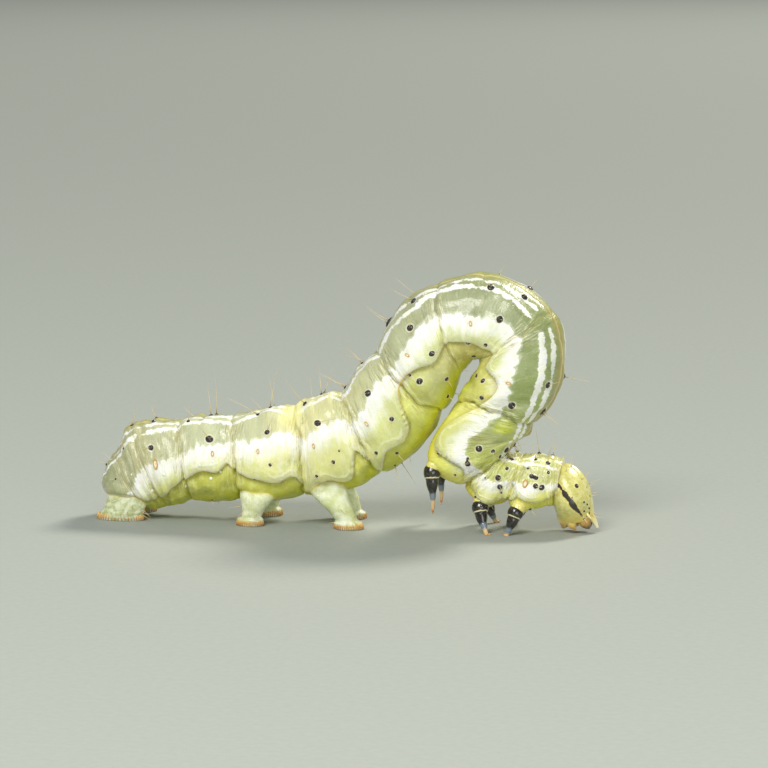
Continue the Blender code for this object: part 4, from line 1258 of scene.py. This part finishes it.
def add_head():
    """The capsule, closed behind the mouth, with fields for its stripe, spots and seams."""
    share = 1 - np.cos(np.linspace(0.06, np.pi / 2, 90))
    degrees = np.linspace(-180, 180, 132, endpoint=False)
    shares, turns = np.meshgrid(share, degrees, indexing="ij")
    rows = head_points(shares, turns)
    end = rows[-1]
    middle = end.mean(0)
    crown, down, front, right = head_frame()
    rounding = ((0.97, 0.03), (0.90, 0.05), (0.75, 0.03), (0.4, 0.0))
    lips = np.array([middle + (end - middle) * share + down * by for share, by in rounding])
    points, faces = closed_tube(np.concatenate([rows, lips]))
    obj = make_piece("head_capsule", points, faces, head_finish())
    nearest = np.full(len(points), FAR)
    for spot_share, spot_turn, radius in HEAD_SPOTS:
        for side in (1, -1):
            place = head_place(spot_share, side * spot_turn)[0]
            nearest = np.minimum(nearest, np.linalg.norm(points - place, axis=1) / radius)
    local = points - crown
    lengthwise = local @ down / HEAD_LENGTH
    set_attribute(obj.data, "share", lengthwise)
    set_attribute(obj.data, "spot", nearest)
    set_attribute(obj.data, "stripe", stripe_distance(points))
    set_attribute(obj.data, "seam", head_seam(lengthwise, local @ right, local @ front))
    return show(obj, "head_horn", "head")


MOUTH_STEPS, MOUTH_SIDES = 24, 20


def in_head(down_by, front_by, side_by):
    crown, down, front, right = head_frame()
    return crown + down_by * down + front_by * front + side_by * right


def add_mouth_part(title, path, radius, flat, finish, slot, *nodes):
    """A tapered mouthpart through points given down, to the front and to the side of the head's crown."""
    knots = np.arange(len(path), dtype=float)
    joints = np.array([(*in_head(*place), size) for place, size in zip(path, radius)])
    line = smooth_through(np.linspace(0, knots[-1], MOUTH_STEPS), knots, joints)
    points, faces = closed_tube(tube_along(line[:, :3], line[:, 3], MOUTH_SIDES, flat))
    points[:, 2] = np.maximum(points[:, 2], 0.02)
    obj = make_piece(title, points, faces, finish)
    set_attribute(obj.data, "reach", tube_field(np.linspace(0, 1, MOUTH_STEPS), MOUTH_SIDES))
    return show(obj, slot, *nodes)


def add_mouth():
    """Upper lip, jaws, feelers, palps and the lower lip with its spinneret."""
    jaw = mouth_finish("larva_jaw", (0.62, 0.38, 0.10), (0.10, 0.035, 0.012))
    amber = mouth_finish("larva_mouth_amber", (0.80, 0.66, 0.20), (0.78, 0.42, 0.08))
    lip = mouth_finish("larva_lip", (0.78, 0.68, 0.22), (0.90, 0.84, 0.56))
    pale = mouth_finish("larva_feeler", (0.80, 0.72, 0.26), (0.84, 0.78, 0.54))
    add_mouth_part("upper_lip", ((1.92, 0.46, 0), (2.26, 0.60, 0), (2.54, 0.68, 0)), (0.15, 0.10, 0.045), 2.5,
                   lip, "jaw_horn")
    for side, word in SIDES:
        add_mouth_part(f"jaw_blade_{word}", ((1.96, 0.24, 0.34 * side), (2.26, 0.33, 0.30 * side),
                       (2.46, 0.38, 0.12 * side)), (0.25, 0.20, 0.08), 0.8, jaw, "jaw_horn", f"jaw_{word}")
        add_mouth_part(f"feeler_{word}", ((1.82, 0.42, 0.50 * side), (1.97, 0.52, 0.56 * side),
                       (2.09, 0.60, 0.57 * side)), (0.060, 0.042, 0.016), 1.0, pale, "head_horn")
        add_mouth_part(f"palp_{word}", ((1.94, -0.14, 0.38 * side), (2.20, -0.14, 0.40 * side),
                       (2.40, -0.06, 0.34 * side)), (0.23, 0.16, 0.04), 1.0, amber, "jaw_horn")
    add_mouth_part("lower_lip", ((1.90, -0.40, 0), (2.14, -0.46, 0), (2.32, -0.58, 0)), (0.30, 0.22, 0.05), 1.7,
                   amber, "jaw_horn", "chin")


def add_eyes():
    """Six glassy beads in an arc low on each side of the head."""
    tubes = []
    for side in (1, -1):
        for share, turn in EYES:
            here, out = head_place(share, side * turn)
            ahead = unit(np.cross(out, np.array([0.0, 0.0, 1.0])))
            bend = np.linspace(0.1, np.pi / 2 - 0.05, 7)
            profile = [(1.0, -0.02)] + [(math.cos(a), 0.035 * math.sin(a)) for a in bend]
            tubes.append(disc_rows(here, out, ahead, np.cross(out, ahead), (0.042, 0.042), profile, 14))
    return add_tubes("eyes", tubes, spot_finish(), "head_horn")


# Floor, lights and camera

FLOOR_HALF = 1200.0  # mm
LOOK_AT = (1.43, 0.0, 5.2)  # mm
CAMERA_TURN, CAMERA_RISE, CAMERA_ROLL = 10.0, 8.0, 0.3  # degrees
CAMERA_DISTANCE, CAMERA_LENS = 116.4, 150  # mm
# Lamps: name, place and size in metres, power in watts, colour.
LAMPS = (("key", (-0.04, -0.15, 0.15), 0.09, 0.34, (1.0, 0.98, 0.93)),
         ("sparkle", (0.07, -0.15, 0.17), 0.012, 0.03, (1.0, 1.0, 1.0)),
         ("fill", (0.10, -0.18, 0.03), 0.12, 0.13, (1.0, 1.0, 0.94)),
         ("back", (0.55, 0.75, 0.90), 0.32, 15.0, (1.0, 0.96, 0.86)))
SKY_COLOUR, SKY_STRENGTH = (0.86, 0.90, 0.92, 1), 0.27


def add_floor():
    """Plain pale floor with a faint, even grain."""
    f = Finish("studio_floor", Roughness=0.75)
    grain = f.noise(f.millimetres(), 4.0, 2.0)
    finish = f.paint(f.mix(grain, (0.32, 0.35, 0.32), (0.37, 0.40, 0.37)))
    corners = np.array([(-1, -1, 0), (1, -1, 0), (1, 1, 0), (-1, 1, 0)]) * FLOOR_HALF
    floor = make_piece("floor", corners, [(0, 1, 2, 3)], finish)


def add_light(name, place, size, power, colour):
    """Soft square lamp that looks at the middle of the body."""
    lamp = bpy.data.lights.new(name, "AREA")
    lamp.size = size
    lamp.energy = power
    lamp.color = colour
    obj = bpy.data.objects.new(name, lamp)
    obj.location = place
    obj.rotation_euler = (Vector(LOOK_AT) * MM - Vector(place)).to_track_quat("-Z", "Y").to_euler()
    bpy.context.scene.collection.objects.link(obj)


def add_camera():
    turn, rise = math.radians(CAMERA_TURN), math.radians(CAMERA_RISE)
    way = Vector((math.sin(turn) * math.cos(rise), -math.cos(turn) * math.cos(rise), math.sin(rise)))
    lens = bpy.data.cameras.new("camera")
    lens.lens = CAMERA_LENS
    lens.clip_start = 0.001
    camera = bpy.data.objects.new("camera", lens)
    camera.location = (Vector(LOOK_AT) + way * CAMERA_DISTANCE) * MM
    level = (-way).to_track_quat("-Z", "Y").to_matrix()
    camera.rotation_euler = (level @ Matrix.Rotation(math.radians(CAMERA_ROLL), 3, "Z")).to_euler()
    bpy.context.scene.collection.objects.link(camera)
    bpy.context.scene.camera = camera


def add_world():
    world = bpy.data.worlds.new("studio")
    world.use_nodes = True
    sky = world.node_tree.nodes["Background"]
    sky.inputs["Color"].default_value = SKY_COLOUR
    sky.inputs["Strength"].default_value = SKY_STRENGTH
    bpy.context.scene.world = world


def main():
    add_camera()
    add_world()
    for lamp in LAMPS:
        add_light(*lamp)
    bpy.context.scene.view_settings.view_transform = "Standard"
    add_floor()
    spots = both_sides([(ring + share, *rest) for ring, row in SPOTS.items() for share, *rest in row])
    add_skin(spots)
    add_spots("spots", spots, spot_finish())
    add_spots("pale_spots", both_sides(PALE_SPOTS), pale_spot_finish())
    add_breathing_holes()
    add_hairs(spots)
    add_hooks()
    add_walking_legs(leg_finish())
    add_head()
    add_eyes()
    add_mouth()


main()
